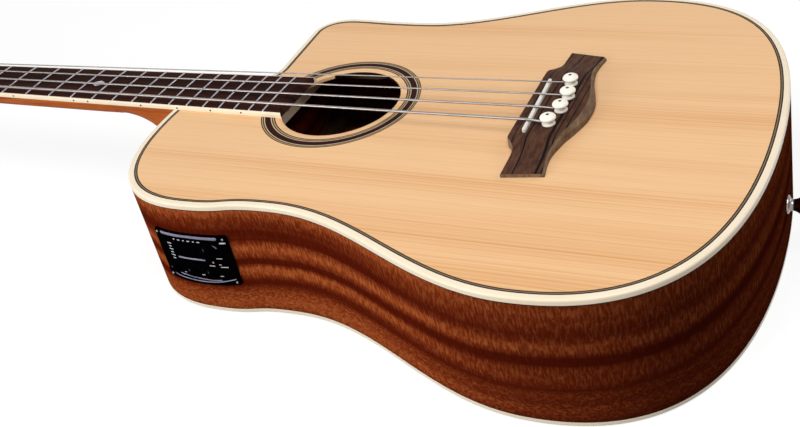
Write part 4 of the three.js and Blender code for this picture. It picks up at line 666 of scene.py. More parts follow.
# The bridge wood's last colour is the painted sheen of its sloping faces
BRIDGE_WOOD = bridge_wood("bridge_wood", rgb(92, 62, 46), rgb(60, 37, 29), rgb(14, 10, 11), rgb(138, 116, 92))
CREAM = moulded("cream_binding", rgb(244, 228, 202), rgb(236, 217, 188), 0.22, 0.1, 30.0, 0.25)
IVORY = moulded("ivory_pins", rgb(250, 246, 234), rgb(240, 232, 214), 0.3, 0.1, 120.0, 0.3)
BONE = moulded("bone", rgb(232, 229, 220), rgb(216, 212, 200), 0.42, 0.0, 160.0, 0.4)
CHROME = metal("chrome", rgb(214, 214, 216), rgb(176, 176, 180), 0.1)
PIN_NICKEL = metal("pin_nickel", rgb(150, 144, 142), rgb(96, 88, 86), 0.12)
FRET_METAL = metal("fret_metal", rgb(172, 166, 172), rgb(130, 124, 132), 0.34, 240.0)
ROD_STEEL = metal("rod_steel", rgb(150, 148, 146), rgb(96, 92, 90), 0.3, 140.0)
STRING_METAL = wound_steel("string_metal")
PANEL_BLACK = moulded("panel_black", rgb(3, 3, 4), rgb(6, 6, 8), 0.4, 0.0, 90.0, 0.0)
DULL_BLACK = moulded("dull_black", rgb(22, 22, 24), rgb(34, 34, 36), 0.5, 0.0, 90.0, 0.3)
DOT_BLACK = moulded("dot_black", rgb(20, 17, 16), rgb(34, 28, 26), 0.35, 0.0, 300.0, 0.3)
LINE_DARK = moulded("edge_line", rgb(30, 17, 12), rgb(44, 26, 18), 0.5, 0.0, 80.0, 0.1)
DISPLAY_GLASS = moulded("display_glass", rgb(2, 2, 4), rgb(5, 5, 8), 0.3, 0.0, 60.0, 0.0)
LILAC_GREY = moulded("lilac_grey", rgb(146, 142, 164), rgb(112, 108, 128), 0.5, 0.0, 300.0, 0.1)
MARK_PALE = moulded("pale_mark", rgb(206, 206, 210), rgb(176, 176, 182), 0.5, 0.0, 300.0, 0.3)
BUTTON_ROSE = moulded("button_rose", rgb(196, 130, 140), rgb(160, 104, 112), 0.3, 0.2, 200.0, 0.4)
POINTER_GREY = moulded("pointer_grey", rgb(70, 70, 76), rgb(52, 52, 58), 0.4, 0.0, 300.0, 0.1)
PEARL = pearl("pearl")
RING_PALE = rgb(218, 200, 170)
RING_TAN, RING_TAN_INNER = rgb(178, 146, 106), rgb(184, 152, 112)
RING_BLACK, RING_BLACK_INNER = rgb(44, 29, 22), rgb(42, 28, 21)
ROSETTE = striped_trim("rosette_rings", (
    (0.0, rgb(56, 40, 30)), (0.05, rgb(46, 31, 23)), (0.08, RING_TAN), (0.14, RING_TAN),
    (0.165, RING_BLACK), (0.21, RING_BLACK), (0.235, RING_PALE), (0.27, RING_PALE),
    (0.3, rgb(46, 16, 12)), (0.68, rgb(52, 19, 14)), (0.705, RING_PALE), (0.74, RING_PALE),
    (0.77, RING_BLACK_INNER), (0.815, RING_BLACK_INNER), (0.84, RING_TAN_INNER), (0.91, RING_TAN_INNER),
    (0.935, rgb(50, 34, 25)), (1.0, rgb(60, 42, 31)),
))
LINE_MIDDLE = rgb(140, 122, 100)
PURFLING_STRIPES = striped_trim("purfling_stripes", (
    (0.0, rgb(84, 68, 52)), (0.12, rgb(44, 35, 28)), (0.36, rgb(48, 38, 31)), (0.46, LINE_MIDDLE),
    (0.56, LINE_MIDDLE), (0.66, rgb(46, 36, 29)), (0.9, rgb(40, 31, 25)), (1.0, rgb(96, 78, 58)),
))

# ---- Body outline

SHOULDER_X = NECK_JOIN + 0.176 * BODY_LENGTH
WAIST_X = NECK_JOIN + 0.327 * BODY_LENGTH
LOWER_X = NECK_JOIN + 0.7245 * BODY_LENGTH
HORN_X = SHOULDER_X + 0.005 * BODY_LENGTH
CURVE_STEPS = 44


def fret_x(number):
    """A fret's distance from the nut: the length left to the saddle halves with every twelve frets."""
    return SCALE_LENGTH * (1 - 2 ** (-np.asarray(number, float) / FRETS_PER_OCTAVE))


def board_half(x):
    """Half the board's width, which grows evenly from the nut to the last fret."""
    taper = (BOARD_AT_LAST_FRET - BOARD_AT_NUT) / fret_x(FRET_COUNT)
    return (BOARD_AT_NUT + taper * x) / 2


BOARD_SIDE = board_half(NECK_JOIN) + BOARD_BINDING + SEAM


def bezier(a, b, c, d, steps=CURVE_STEPS):
    """A cubic curve from its four points, without its last point."""
    t = np.linspace(0, 1, steps, endpoint=False)[:, None]
    a, b, c, d = (np.asarray(p, float) for p in (a, b, c, d))
    return (1 - t) ** 3 * a + 3 * t * (1 - t) ** 2 * b + 3 * t ** 2 * (1 - t) * c + t ** 3 * d


def body_outline():
    """The body's edge from the neck joint along the bass side, round the tail and back to the cutaway."""
    front = (NECK_JOIN, -BOARD_SIDE)
    shoulder, waist = (SHOULDER_X, -UPPER_HALF), (WAIST_X, -WAIST_HALF)
    lower, tail = (LOWER_X, -LOWER_HALF), (TAIL, 0)
    rise, run = WAIST_X - SHOULDER_X, LOWER_X - WAIST_X
    to_shoulder = (
        (NECK_JOIN, -BOARD_SIDE - 0.625 * UPPER_HALF),
        (SHOULDER_X - 0.54 * (SHOULDER_X - NECK_JOIN), -UPPER_HALF),
    )
    to_waist = ((SHOULDER_X + 0.585 * rise, -UPPER_HALF), (WAIST_X - 0.625 * rise, -WAIST_HALF))
    to_lower = ((WAIST_X + 0.354 * run, -WAIST_HALF), (LOWER_X - 0.368 * run, -LOWER_HALF))
    to_tail = ((LOWER_X + 0.624 * (TAIL - LOWER_X), -LOWER_HALF), (TAIL, -0.75 * LOWER_HALF))
    horn = (HORN_X, HORN_HALF)
    horn_side = (CUTAWAY - 0.045 * (HORN_HALF - BOARD_SIDE), 0.81 * HORN_HALF)
    nook = (CUTAWAY, BOARD_SIDE + 20)
    beside = (CUTAWAY - 17, board_half(CUTAWAY) + BOARD_BINDING + 0.6)

    def over(p):
        """The same place on the other side of the centre line."""
        return (p[0], -p[1])

    rise = WAIST_X - HORN_X
    return np.concatenate([
        [(NECK_JOIN, 0)],
        bezier(front, *to_shoulder, shoulder),
        bezier(shoulder, *to_waist, waist),
        bezier(waist, *to_lower, lower),
        bezier(lower, *to_tail, tail),
        bezier(tail, over(to_tail[1]), over(to_tail[0]), over(lower)),
        bezier(over(lower), over(to_lower[1]), over(to_lower[0]), over(waist)),
        bezier(over(waist), (WAIST_X - 0.625 * rise, WAIST_HALF), (HORN_X + 0.2925 * rise, HORN_HALF), horn),
        bezier(horn, (HORN_X - 0.6 * (HORN_X - horn_side[0]), HORN_HALF),
               (horn_side[0], horn_side[1] + 0.6 * (HORN_HALF - horn_side[1])), horn_side),
        np.linspace(horn_side, nook, 12, endpoint=False),
        bezier(nook, (CUTAWAY, nook[1] - 9), (CUTAWAY - 7.65, beside[1]), beside, 16),
        [beside, (NECK_JOIN, BOARD_SIDE)],
    ])


OUTLINE = body_outline()
ARC_LENGTH = length_along(OUTLINE)
TAIL_INDEX = int(np.argmax(OUTLINE[:, 0]))


def inset(distance):
    """The outline moved inwards: each point goes along the mean normal of its two edges."""
    before = unit(OUTLINE - np.roll(OUTLINE, 1, 0))
    after = unit(np.roll(OUTLINE, -1, 0) - OUTLINE)
    normal = unit(left_of(before + after))
    stretch = np.maximum(np.einsum("ij,ij->i", normal, left_of(before)), 0.5)
    return OUTLINE + normal * (distance / stretch)[:, None]


def back_z(x):
    """Height of the back, which drops evenly from the neck joint to the tail."""
    return -(DEPTH_AT_NECK + (x - NECK_JOIN) * BACK_SLOPE)


def edge_sections(columns, from_back=False):
    """A profile of (distance inwards, height) carried round the outline, over the top or over the back."""
    rows = []
    for distance, height in columns:
        line = inset(distance)
        rows.append(at_height(line, height + (back_z(line[:, 0]) if from_back else 0)))
    return np.stack(rows, 1)


def edge_ring(name, columns, finish, slot, from_back=False, **options):
    """A closed ring of trim round the body, with a surface map of length and share across."""
    uv = surface_map(ARC_LENGTH[:, None] / 1000, np.linspace(0, 1, len(columns))[None, :])
    return ringed(name, edge_sections(columns, from_back), finish, slot, uv=uv, **options)


def plate_disc(name, loop, low, high, finish, slot, **options):
    """A flat plate inside a loop that its centre sees all of: two fans and a wall."""
    count = len(loop)
    lower, upper = at_height(loop, low(loop[:, 0])), at_height(loop, high(loop[:, 0]))
    middle = np.array([HOLE_X, 0.0])
    poles = [[*middle, low(middle[0])], [*middle, high(middle[0])]]
    j = np.arange(count)
    k = (j + 1) % count
    under = np.stack([k, j, np.full(count, 2 * count)], -1)
    over = np.stack([count + j, count + k, np.full(count, 2 * count + 1)], -1)
    wall = np.stack([j, k, count + k, count + j], -1)
    return piece(name, np.concatenate([lower, upper, poles]), [under, over, wall], finish, slot, **options)


def hole_rings(turn, columns):
    """Columns of (radius, height) carried round the soundhole's centre."""
    around = np.column_stack([np.cos(turn), np.sin(turn)])
    return np.stack([at_height((HOLE_X, 0) + radius * around, z) for radius, z in columns], 1)


def soundboard():
    """Rings round the soundhole's centre out to the body's edge, with the rosette's recess between two of them."""
    edge = inset(BINDING_WIDTH + PURFLING)
    rings = hole_rings(np.arctan2(edge[:, 1], edge[:, 0] - HOLE_X), [
        (HOLE_RADIUS, -TOP_THICKNESS), (HOLE_RADIUS, -0.5), (HOLE_RADIUS + 0.15, -0.15), (HOLE_RADIUS + 0.5, 0),
        (ROSETTE_INNER, 0), (ROSETTE_INNER, -ROSETTE_DEPTH), (ROSETTE_OUTER, -ROSETTE_DEPTH), (ROSETTE_OUTER, 0),
    ])
    rim = np.stack([at_height(edge, z) for z in (0, -TOP_THICKNESS)], 1)
    ringed("spruce_soundboard", np.concatenate([rings, rim], 1), SPRUCE_TOP, "spruce", replaces=["soundboard"])


def hole_wall():
    """Painted shade on the soundhole's inner wall, as a thin dark sleeve that ends where the board begins."""
    turn = np.linspace(math.radians(-150), math.radians(125), 150)
    inner, outer, top = HOLE_RADIUS - 0.06, HOLE_RADIUS + 0.3, -0.7
    columns = [(inner, top), (inner, -TOP_THICKNESS), (outer, -TOP_THICKNESS), (outer, top)]
    skin("hole_edge_shade", hole_rings(turn, columns), LINE_DARK, "rosette_wood")


def rosette():
    """A ring of strips let into the soundboard, its map running from the outer edge to the inner."""
    turn = whole_turn(360)
    share = np.linspace(0, 1, 15)
    high = [(ROSETTE_OUTER + (ROSETTE_INNER - ROSETTE_OUTER) * s, 0.03) for s in share]
    columns = [(ROSETTE_OUTER, -ROSETTE_DEPTH), *high, (ROSETTE_INNER, -ROSETTE_DEPTH)]
    uv = surface_map(turn[:, None] / 10, np.array([[0, *share, 1]]))
    ringed("rosette_rings", hole_rings(turn, columns), ROSETTE, "rosette_wood", uv=uv, replaces=["rosette"])


def side(name, first, last, replaced):
    """One bent side: outer and inner faces between the two bindings, mapped by length and height."""
    heights = np.linspace(0, 1, 9)
    outer, inner = inset(0.0)[first:last], inset(SIDE_THICKNESS)[first:last]
    top = -TOP_BINDING - EDGE_LINE
    columns = []
    for line, shares in ((outer, heights), (inner, heights[::-1])):
        low = back_z(line[:, 0]) + BACK_BINDING + EDGE_LINE
        columns += [at_height(line, top + share * (low - top)) for share in shares]
    sections = np.stack(columns, 1)
    uv = surface_map(ARC_LENGTH[first:last, None] / 1000, sections[..., 2] / 1000)
    skin(name, sections, SAPELE_SIDE, "sapele", uv=uv, replaces=[replaced])


def body():
    """Plates, sides and edge trim."""
    soundboard()
    hole_wall()
    rosette()
    edge_ring("top_purfling_lines", [
        (BINDING_WIDTH, -1.4), (BINDING_WIDTH, 0), (BINDING_WIDTH + 0.7, 0.015), (BINDING_WIDTH + 1.4, 0.02),
        (BINDING_WIDTH + 2.1, 0.015), (BINDING_WIDTH + PURFLING, 0), (BINDING_WIDTH + PURFLING, -1.4),
    ], PURFLING_STRIPES, "rosette_wood", replaces=["top_purfling"])
    corner = rounded((0, 0), (0, -9), (9, 0), 1.9, 7).tolist()
    edge_ring("top_edge_binding", [(0, -TOP_BINDING), *corner, (BINDING_WIDTH, 0), (BINDING_WIDTH, -TOP_BINDING)],
              CREAM, "cream_binding", replaces=["top_binding"])
    low_corner = rounded((0, 0), (9, 0), (0, 9), 1.5, 7).tolist()
    edge_ring("back_edge_binding", [(BINDING_WIDTH, BACK_BINDING), (BINDING_WIDTH, 0), *low_corner, (0, BACK_BINDING)],
              CREAM, "cream_binding", True, replaces=["back_binding"])
    for name, height, from_back in (
        ("upper_edge_line", -TOP_BINDING - EDGE_LINE, False), ("lower_edge_line", BACK_BINDING, True),
    ):
        edge_ring(name, [(0, height), (0, height + EDGE_LINE), (2, height + EDGE_LINE), (2, height)],
                  LINE_DARK, "rosette_wood", from_back)
    side("bass_side", 0, TAIL_INDEX + 1, "side_bass")
    side("treble_side", TAIL_INDEX, len(OUTLINE), "side_treble")
    plate_disc("sapele_back", inset(BINDING_WIDTH), back_z, lambda x: back_z(x) + BACK_THICKNESS,
               SAPELE_BACK, "sapele", replaces=["back_plate"])


body()

# ---- Neck


def neck_line(x):
    """Rise of the neck's own line over its height at the joint."""
    return (x - NECK_JOIN) * math.tan(NECK_ANGLE)


def board_edge_z(x):
    """Height of the board's top at its edges, above the neck's own line."""
    return SEAM + BOARD_EDGE + neck_line(x)


def crown_z(x, y):
    """Height of the board's face: a parabola across it, highest along the middle."""
    return board_edge_z(x) + BOARD_CROWN * (1 - (y / board_half(x)) ** 2)


def board_base(x):
    """Height of the board's underside: the neck's own line up to the joint, then level."""
    return SEAM + np.minimum(neck_line(x), 0)


SCOOP_RADIUS = HOLE_RADIUS + 0.5


def board_end(side_share, beyond):
    """Where a line along the board meets the curve round the soundhole, found by a few rounds of trial."""
    x = np.full(np.shape(side_share), 640.0)
    for _ in range(6):
        y = side_share * (board_half(x) + beyond)
        x = HOLE_X - np.sqrt(SCOOP_RADIUS ** 2 - y ** 2)
    return x


BOARD_STATIONS = np.concatenate([np.linspace(0, NECK_JOIN, 40), np.linspace(NECK_JOIN, 640, 12)[1:]]) / 640


def fingerboard():
    """Crowned sections along the board, each line ending on the curve round the soundhole."""
    shares = np.concatenate([[-1, 1], np.linspace(1, -1, 15)])
    ends = board_end(shares, 0)
    x = BOARD_STATIONS[:, None] * ends
    y = shares * board_half(x)
    z = crown_z(x, y)
    z[:, :2] = board_base(x)[:, :2]
    skin("rosewood_board", np.stack([x, y, z], -1), BOARD_WOOD, "rosewood", replaces=["fingerboard"])


def board_binding(sign, name, replaced):
    """The cream strip beside the board, its outer top edge slightly rounded."""
    beyond = np.array([0, BOARD_BINDING, BOARD_BINDING, BOARD_BINDING - 0.25, BOARD_BINDING - 0.6, 0])
    drop = np.array([0, 0, 0.6, 0.2, 0, 0])
    ends = np.array([board_end(np.array(float(sign)), b) for b in beyond])
    x = BOARD_STATIONS[:, None] * ends
    y = sign * (board_half(x) + beyond)
    z = board_edge_z(x) - drop
    z[:, :2] = board_base(x)[:, :2]
    skin(name, np.stack([x, y, z], -1), CREAM, "cream_binding", replaces=[replaced], crease=50)


def frets():
    """Half-round wires across the board, following its crown, with bevelled ends."""
    half = np.array([(0.4, 1), (0.7, 1), (0.95, 1), (0.985, 0.75), (1, 0.25)])
    across, height = np.concatenate([half[::-1] * (-1, 1), [(0, 1)], half]).T
    turn = np.linspace(0, math.pi, 9)
    parts = []
    for x in fret_x(np.arange(1, FRET_COUNT + 1)):
        along = x + FRET_WIDTH / 2 * np.cos(turn)
        y = across * board_half(x)
        up = FRET_HEIGHT * height[:, None] * np.sin(turn) ** 0.8
        z = crown_z(x, y)[:, None] + up - 0.05
        section = np.stack(np.broadcast_arrays(along[None, :], y[:, None], z), -1)
        parts.append(sections_part(section))
    piece("fret_wires", *merged(*parts), FRET_METAL, "fret_wire", replaces=["frets"], crease=50)


def octave_mark():
    """A plain lozenge of shell, its face following the board's crown."""
    middle = float(fret_x(FRETS_PER_OCTAVE - 1) + fret_x(FRETS_PER_OCTAVE)) / 2
    turn = whole_turn(64)
    reach = 1 / (np.abs(np.cos(turn)) ** 1.25 + np.abs(np.sin(turn)) ** 1.25) ** 0.8
    x = middle + 7.5 * reach * np.cos(turn)
    y = 4.5 * reach * np.sin(turn)
    rings = [at_height(np.column_stack([x, y]), crown_z(x, y) + lift) for lift in (-0.8, 0.03)]
    skin("shell_lozenge", np.stack(rings), PEARL, "pearl", replaces=["octave_inlay"])


SIDE_DOTS = (3, 5, 7, 9, 12, 12, 15, 17, 19, 21)


def side_dots():
    """Small dark dots in the binding's side, halfway between frets; two at the octave."""
    parts = []
    for place, number in enumerate(SIDE_DOTS):
        x = float(fret_x(number - 1) + fret_x(number)) / 2
        if number == FRETS_PER_OCTAVE:
            x += 8.5 if SIDE_DOTS[place - 1] == number else -8.5
        y = -(board_half(x) + BOARD_BINDING)
        z = board_edge_z(x) - BOARD_EDGE / 2
        parts.append(lathe_part([(0, -0.4), (0.95, -0.4), (0.95, 0.02), (0.8, 0.06), (0, 0.08)], 20, (x, y, z), "-y"))
    piece("side_dots", *merged(*parts), DOT_BLACK, "rosette_wood")


NECK_DEPTH_NUT = 16.4
NECK_DEPTH_HEEL = 18.6
HEEL_START = 452.0
HEEL_FOOT = 501.0
HEEL_DEPTH = 92.0
HEEL_HALF = 13.0
HEEL_CAP = 3.2
NUT_THICKNESS = 5.0
HEEL_LINE = bezier((HEEL_START, NECK_DEPTH_HEEL), (484, NECK_DEPTH_HEEL), (497, 44), (HEEL_FOOT, HEEL_DEPTH), 200)


def neck_shaft():
    """Rounded sections from the nut to the body that deepen into the heel, flat where the cap goes."""
    x = np.concatenate([
        np.linspace(-NUT_THICKNESS, HEEL_START, 30),
        np.linspace(HEEL_START, HEEL_FOOT, 50)[1:],
        np.linspace(HEEL_FOOT, NECK_JOIN - SEAM, 14)[1:],
    ])
    shaft = NECK_DEPTH_NUT + np.clip(x / HEEL_START, 0, 1) * (NECK_DEPTH_HEEL - NECK_DEPTH_NUT)
    depth = np.where(x < HEEL_START, shaft, np.interp(x, HEEL_LINE[:, 0], HEEL_LINE[:, 1]))
    behind_foot = np.maximum(x - HEEL_FOOT, 0)
    depth = np.where(behind_foot > 0, HEEL_DEPTH * (1 + (behind_foot / 9) ** 1.5), depth)
    turn = np.linspace(0, math.pi, 41)
    fall = depth[:, None] * np.sin(turn) ** 0.9
    level = np.minimum(fall, HEEL_DEPTH)
    half = board_half(x)[:, None] + BOARD_BINDING - 0.3
    narrow = np.clip(level / HEEL_DEPTH, 0, 1) ** 0.9
    width = half + (HEEL_HALF - half) * narrow * np.clip((x[:, None] - 440) / 60, 0, 1)
    round_side = np.sqrt(np.maximum(1 - (level / depth[:, None]) ** 2, 0)) * np.sign(np.cos(turn))
    clipped = np.cos(turn) * np.ones_like(fall)
    side_share = np.where(fall > HEEL_DEPTH, clipped, round_side)
    side_share = np.where(depth[:, None] <= NECK_DEPTH_HEEL + 0.2, np.cos(turn), side_share)
    y = width * side_share
    z = np.where(x[:, None] < NECK_JOIN, neck_line(x)[:, None] * (level < HEEL_DEPTH), 0) - level
    sections = np.stack([np.broadcast_to(x[:, None], y.shape), y, z], -1)
    skin("neck_shaft", sections, NECK_WOOD, "mahogany", replaces=["neck"], crease=45)


HEAD_ANGLE = math.radians(14)
HEAD_LENGTH = 195.9
HEAD_HALF = 39.0
HEAD_THICKNESS = 15.0
VENEER = 1.5
HEAD_SHARES = (
    (-0.03, 0.53), (0.03, 0.55), (0.12, 0.64), (0.2, 0.84), (0.27, 0.97), (0.36, 1),
    (0.62, 0.97), (0.85, 0.99), (0.96, 0.93), (1, 0.7), (0.985, 0.36), (0.97, 0),
)


def from_head(points):
    """Points of the headstock's own frame, (along, side, height), in the neck's frame."""
    points = np.asarray(points, float)
    c, s = math.cos(HEAD_ANGLE), math.sin(HEAD_ANGLE)
    x, y, z = -points[..., 0], points[..., 1], points[..., 2]
    return np.stack([c * x - s * z - NUT_THICKNESS, y, s * x + c * z + float(neck_line(0.0)) - 0.4], -1)


def headstock():
    """Head and its face veneer: one smooth outline, carried through rounded edges."""
    half = smooth_line(np.array(HEAD_SHARES) * (HEAD_LENGTH, HEAD_HALF), 10)
    loop = np.concatenate([half, half[-2::-1] * (1, -1)])
    centre = np.array([HEAD_LENGTH / 2, 0])

    def slab(levels, start):
        """Rings of the outline beyond a start, each at its height and drawn in by its distance."""
        shape = np.maximum(loop, (start, -1e6))
        inwards = unit(centre - shape)
        return from_head(np.stack([at_height(shape + inwards * shrink, height) for height, shrink in levels]))

    back = -VENEER - HEAD_THICKNESS
    levels = [(back, 1.6), (back + 0.5, 0.5), (back + 1.6, 0), (-VENEER, 0)]
    skin("headstock", slab(levels, -6), NECK_WOOD, "mahogany", crease=60)
    face = slab([(-VENEER, 0), (-0.4, 0), (0, 0.4)], 0.2)
    skin("head_face", face, BOARD_WOOD, "rosewood", replaces=["head_veneer"], crease=50)


def heel_cap():
    """A thin plate under the heel with the heel's own round outline."""
    turn = np.linspace(0, math.pi, 33)
    joint = NECK_JOIN - SEAM
    x = joint - (joint - 500) * np.sin(turn) ** 0.75
    y = HEEL_HALF * squarish(np.cos(turn), 0.75)
    levels = (-HEEL_DEPTH - HEEL_CAP, -HEEL_DEPTH - HEEL_CAP + 0.3, -HEEL_DEPTH)
    rings = [at_height(np.column_stack([x, y]), z) for z in levels]
    rings[0][:, 1] *= 0.97
    skin("cream_heel_cap", np.stack(rings), CREAM, "cream_binding", replaces=["heel_cap"])


fingerboard()
board_binding(-1, "bass_board_binding", "board_binding_bass")
board_binding(1, "treble_board_binding", "board_binding_treble")
frets()
octave_mark()
side_dots()
neck_shaft()
headstock()
heel_cap()

# ---- Tuners

KEY_LENGTH = 25.0
KEY_HALF_WIDTH = 12.0
KEY_HALF_THICKNESS = 4.2
KEY_START = HEAD_HALF + 3
KEY_SHAFT = 2.2
HOUSING_DEPTH = 14.0
POST_RADIUS = 4.5
WHEEL_PITCH_RADIUS = 6.0
WHEEL_TEETH = 16
TOOTH_HEIGHT = 1.1
WORM_PITCH_RADIUS = 2.8
WORM_PITCH = 2 * math.pi * WHEEL_PITCH_RADIUS / WHEEL_TEETH
WORM_TURNS = 3
WORM_CENTRE = WHEEL_PITCH_RADIUS + WORM_PITCH_RADIUS
GEAR_HEIGHT = -VENEER - HEAD_THICKNESS - SEAM - HOUSING_DEPTH / 2
POSTS = {"e": (60, -25, -1), "a": (132, -25, -1), "d": (132, 25, 1), "g": (60, 25, 1)}


def worm_thread():
    """One thread wound round the shaft, which runs in the teeth of the post's wheel."""
    turn = np.linspace(-WORM_TURNS * math.pi, WORM_TURNS * math.pi, WORM_TURNS * 24 + 1)[:, None]
    along, out = np.array([(-0.27, -0.75), (-0.12, 0.4), (0.12, 0.4), (0.27, -0.75)]).T
    radius = WORM_PITCH_RADIUS + out * TOOTH_HEIGHT
    middle = WORM_PITCH * turn / (2 * math.pi)
    return sections_part(np.stack([-radius * np.cos(turn), middle + along * WORM_PITCH, radius * np.sin(turn)], -1))


def tuner_key(string, along, across, sign):
    """A shaft with its worm, and an oval button that swells and closes along the shaft."""
    reach = np.linspace(0, 1, 40)
    wide = KEY_HALF_WIDTH * np.sqrt(np.maximum(1 - np.abs(2 * reach ** 0.8 - 1) ** 2.4, 0))
    thick = KEY_HALF_THICKNESS * np.maximum(1 - np.abs(2 * reach - 1) ** 5, 0) ** 0.4
    turn = whole_turn(40)
    start = sign * KEY_START - across
    sections = np.stack(np.broadcast_arrays(
        np.maximum(wide, 0.3)[:, None] * squarish(np.cos(turn), 0.8),
        (start + sign * reach * KEY_LENGTH)[:, None],
        np.maximum(thick, 0.3)[:, None] * squarish(np.sin(turn), 0.8),
    ), -1)
    length = abs(start) + 1.5
    rod_points, rod_faces = lathe_part([(0, -8), (KEY_SHAFT, -8), (KEY_SHAFT, length), (0, length)], 24)
    rod_points = rod_points[:, [0, 2, 1]] * (1, sign, 1)
    points, faces = merged(sections_part(sections), (rod_points, rod_faces), worm_thread())
    in_head = points * (-1, 1, 1) + (along - WORM_CENTRE, across, GEAR_HEIGHT)
    piece("key_" + string, from_head(in_head), faces, CHROME, "tuner_chrome", body="key_" + string,
          replaces=["tuner_key_" + string], crease=50)


for string, (along, across, sign) in POSTS.items():
    tuner_key(string, along, across, sign)

# ---- Strings

STRINGS = ("e", "a", "d", "g")
STRING_RADII = (1.14, 0.93, 0.76, 0.53)
SPREAD_AT_NUT = 34.5
SPREAD_AT_SADDLE = 57.6
BRIDGE_HEIGHT = 9.0
BRIDGE_SHIFT = 3.2
SADDLE_X = 863.6
SADDLE_SHIFT = -2.2
SADDLE_LENGTH = 76.0
SADDLE_THICKNESS = 3.2
SADDLE_TOP = 12.2
SADDLE_SLANT = math.radians(2)
PIN_ARC_X = 884.9
PIN_ARC_BOW = 4.2
PIN_SPREAD = 59.4
PIN_STRING_OFFSET = 3.4
BALL_RADIUS = 2.5
BALL_LENGTH = 5.0
BRIDGE_PLATE = 2.8
WINDING_TURNS = 2
WINDING_GAP = 0.6
WINDING_START = 4.4


def pin_place(number):
    """A bridge pin's place: evenly spaced across, on a parabola whose ends lie nearer the nut."""
    y = PIN_SPREAD * (number / 3 - 1 / 2)
    return PIN_ARC_X - PIN_ARC_BOW * (2 * y / PIN_SPREAD) ** 2, BRIDGE_SHIFT + y


def string_route(number, string):
    """From the ball under the bridge plate, up and over the saddle, to the nut and the winding on its post."""
    r = STRING_RADII[number]
    y = SPREAD_AT_SADDLE * (number / 3 - 1 / 2)
    nut_y = SPREAD_AT_NUT * (number / 3 - 1 / 2)
    pin_x, pin_y = pin_place(number)
    drop_x = pin_x - PIN_STRING_OFFSET
    ball_top = -TOP_THICKNESS - BRIDGE_PLATE - 3 * SEAM
    ball_x = drop_x - BALL_RADIUS / 2 + SEAM
    points, radii = [], []
    for down, wide in ((1, 0.4), (0.93, 0.7), (0.8, 0.92), (0.5, 1), (0.2, 0.92), (0.1, 0.7)):
        points.append((ball_x, pin_y, ball_top - down * BALL_LENGTH))
        radii.append(wide * BALL_RADIUS)
    points += [((ball_x + drop_x) / 2, pin_y, ball_top), (drop_x, pin_y, ball_top + 2.5), (drop_x, pin_y, 2)]
    bend = np.linspace(0, math.pi / 2, 9)
    points += [(drop_x - 2 + 2 * math.cos(b), pin_y, BRIDGE_HEIGHT - 0.3 + 2 * math.sin(b)) for b in bend]
    saddle_x = SADDLE_X - (y - SADDLE_SHIFT) * math.tan(SADDLE_SLANT)
    crest = SADDLE_TOP + r
    saddle_back = saddle_x + SADDLE_THICKNESS / 2
    points += [
        (saddle_back + 0.5, y, crest - 0.02), (saddle_back - 0.6, y, crest + 0.16),
        (saddle_x, y, crest + SEAM), (saddle_x - 4, y, crest + SEAM),
    ]
    at_nut = FRET_TOP + float(neck_line(0.0)) + ACTION + r
    shares = np.linspace(0.995, 0.002, 24)
    points += [(saddle_x * s, nut_y + (y - nut_y) * s, at_nut + (crest + SEAM - at_nut) * s) for s in shares]
    beyond_nut = nut_y + (nut_y - y) * NUT_THICKNESS / SCALE_LENGTH
    points += [(0, nut_y, at_nut), (-2.5, nut_y, at_nut - 0.05), (-NUT_THICKNESS, beyond_nut, at_nut - SEAM)]
    along, across, sign = POSTS[string]
    radius = POST_RADIUS + 0.3 + SEAM + r
    turn = np.linspace(0, 2 * WINDING_TURNS * math.pi, 48 * WINDING_TURNS + 1)
    rise = WINDING_START + (2 * r + WINDING_GAP) * turn / (2 * math.pi)
    wound = from_head(np.column_stack([along + radius * np.sin(turn), across - sign * radius * np.cos(turn), rise]))
    lead = wound[0] + (from_head((-1, 0, 0)) - from_head((0, 0, 0))) * 2 * r
    points = np.concatenate([points, [lead], wound])
    radii = np.concatenate([radii, np.full(len(points) - len(radii), r)])
    return points, radii


def strings():
    """Each string as one tube along its whole route, mapped by its length."""
    for number, string in enumerate(STRINGS):
        points, radii = string_route(number, string)
        sections = tube_sections(points, radii)
        uv = surface_map(length_along(points)[:, None] / 1000, np.linspace(0, 1, TUBE_SIDES)[None, :])
        skin("wound_string_" + string, sections, STRING_METAL, "string_steel", uv=uv,
             replaces=["string_" + string], crease=60)


strings()

# ---- Bridge

BRIDGE_X = 861.6
BRIDGE_HALF = 90.3
WING_HEIGHT = 3.2
WING_DEPTH = 32.6
FRONT_STEP = 8.2
BELLY = 11.8
BEVEL_WIDTH = 5.0
BEVEL_DROP = 4.4
END_SLANT = 0.055
# Span, front step, belly and rise at one half of the bridge, as shares of their sizes
BRIDGE_SHARES = (
    (1, 0, 0, 0), (0.97, 0, -0.02, 0.05), (0.84, -0.02, -0.18, 0.2), (0.74, -0.05, -0.22, 0.4),
    (0.68, 0.05, -0.18, 0.55), (0.64, 0.26, -0.14, 0.68), (0.6, 0.56, -0.08, 0.82), (0.555, 0.96, 0, 0.94),
    (0.48, 1, 0.13, 1), (0.34, 1, 0.5, 1), (0.15, 1, 0.9, 1), (0, 1, 1, 1),
)


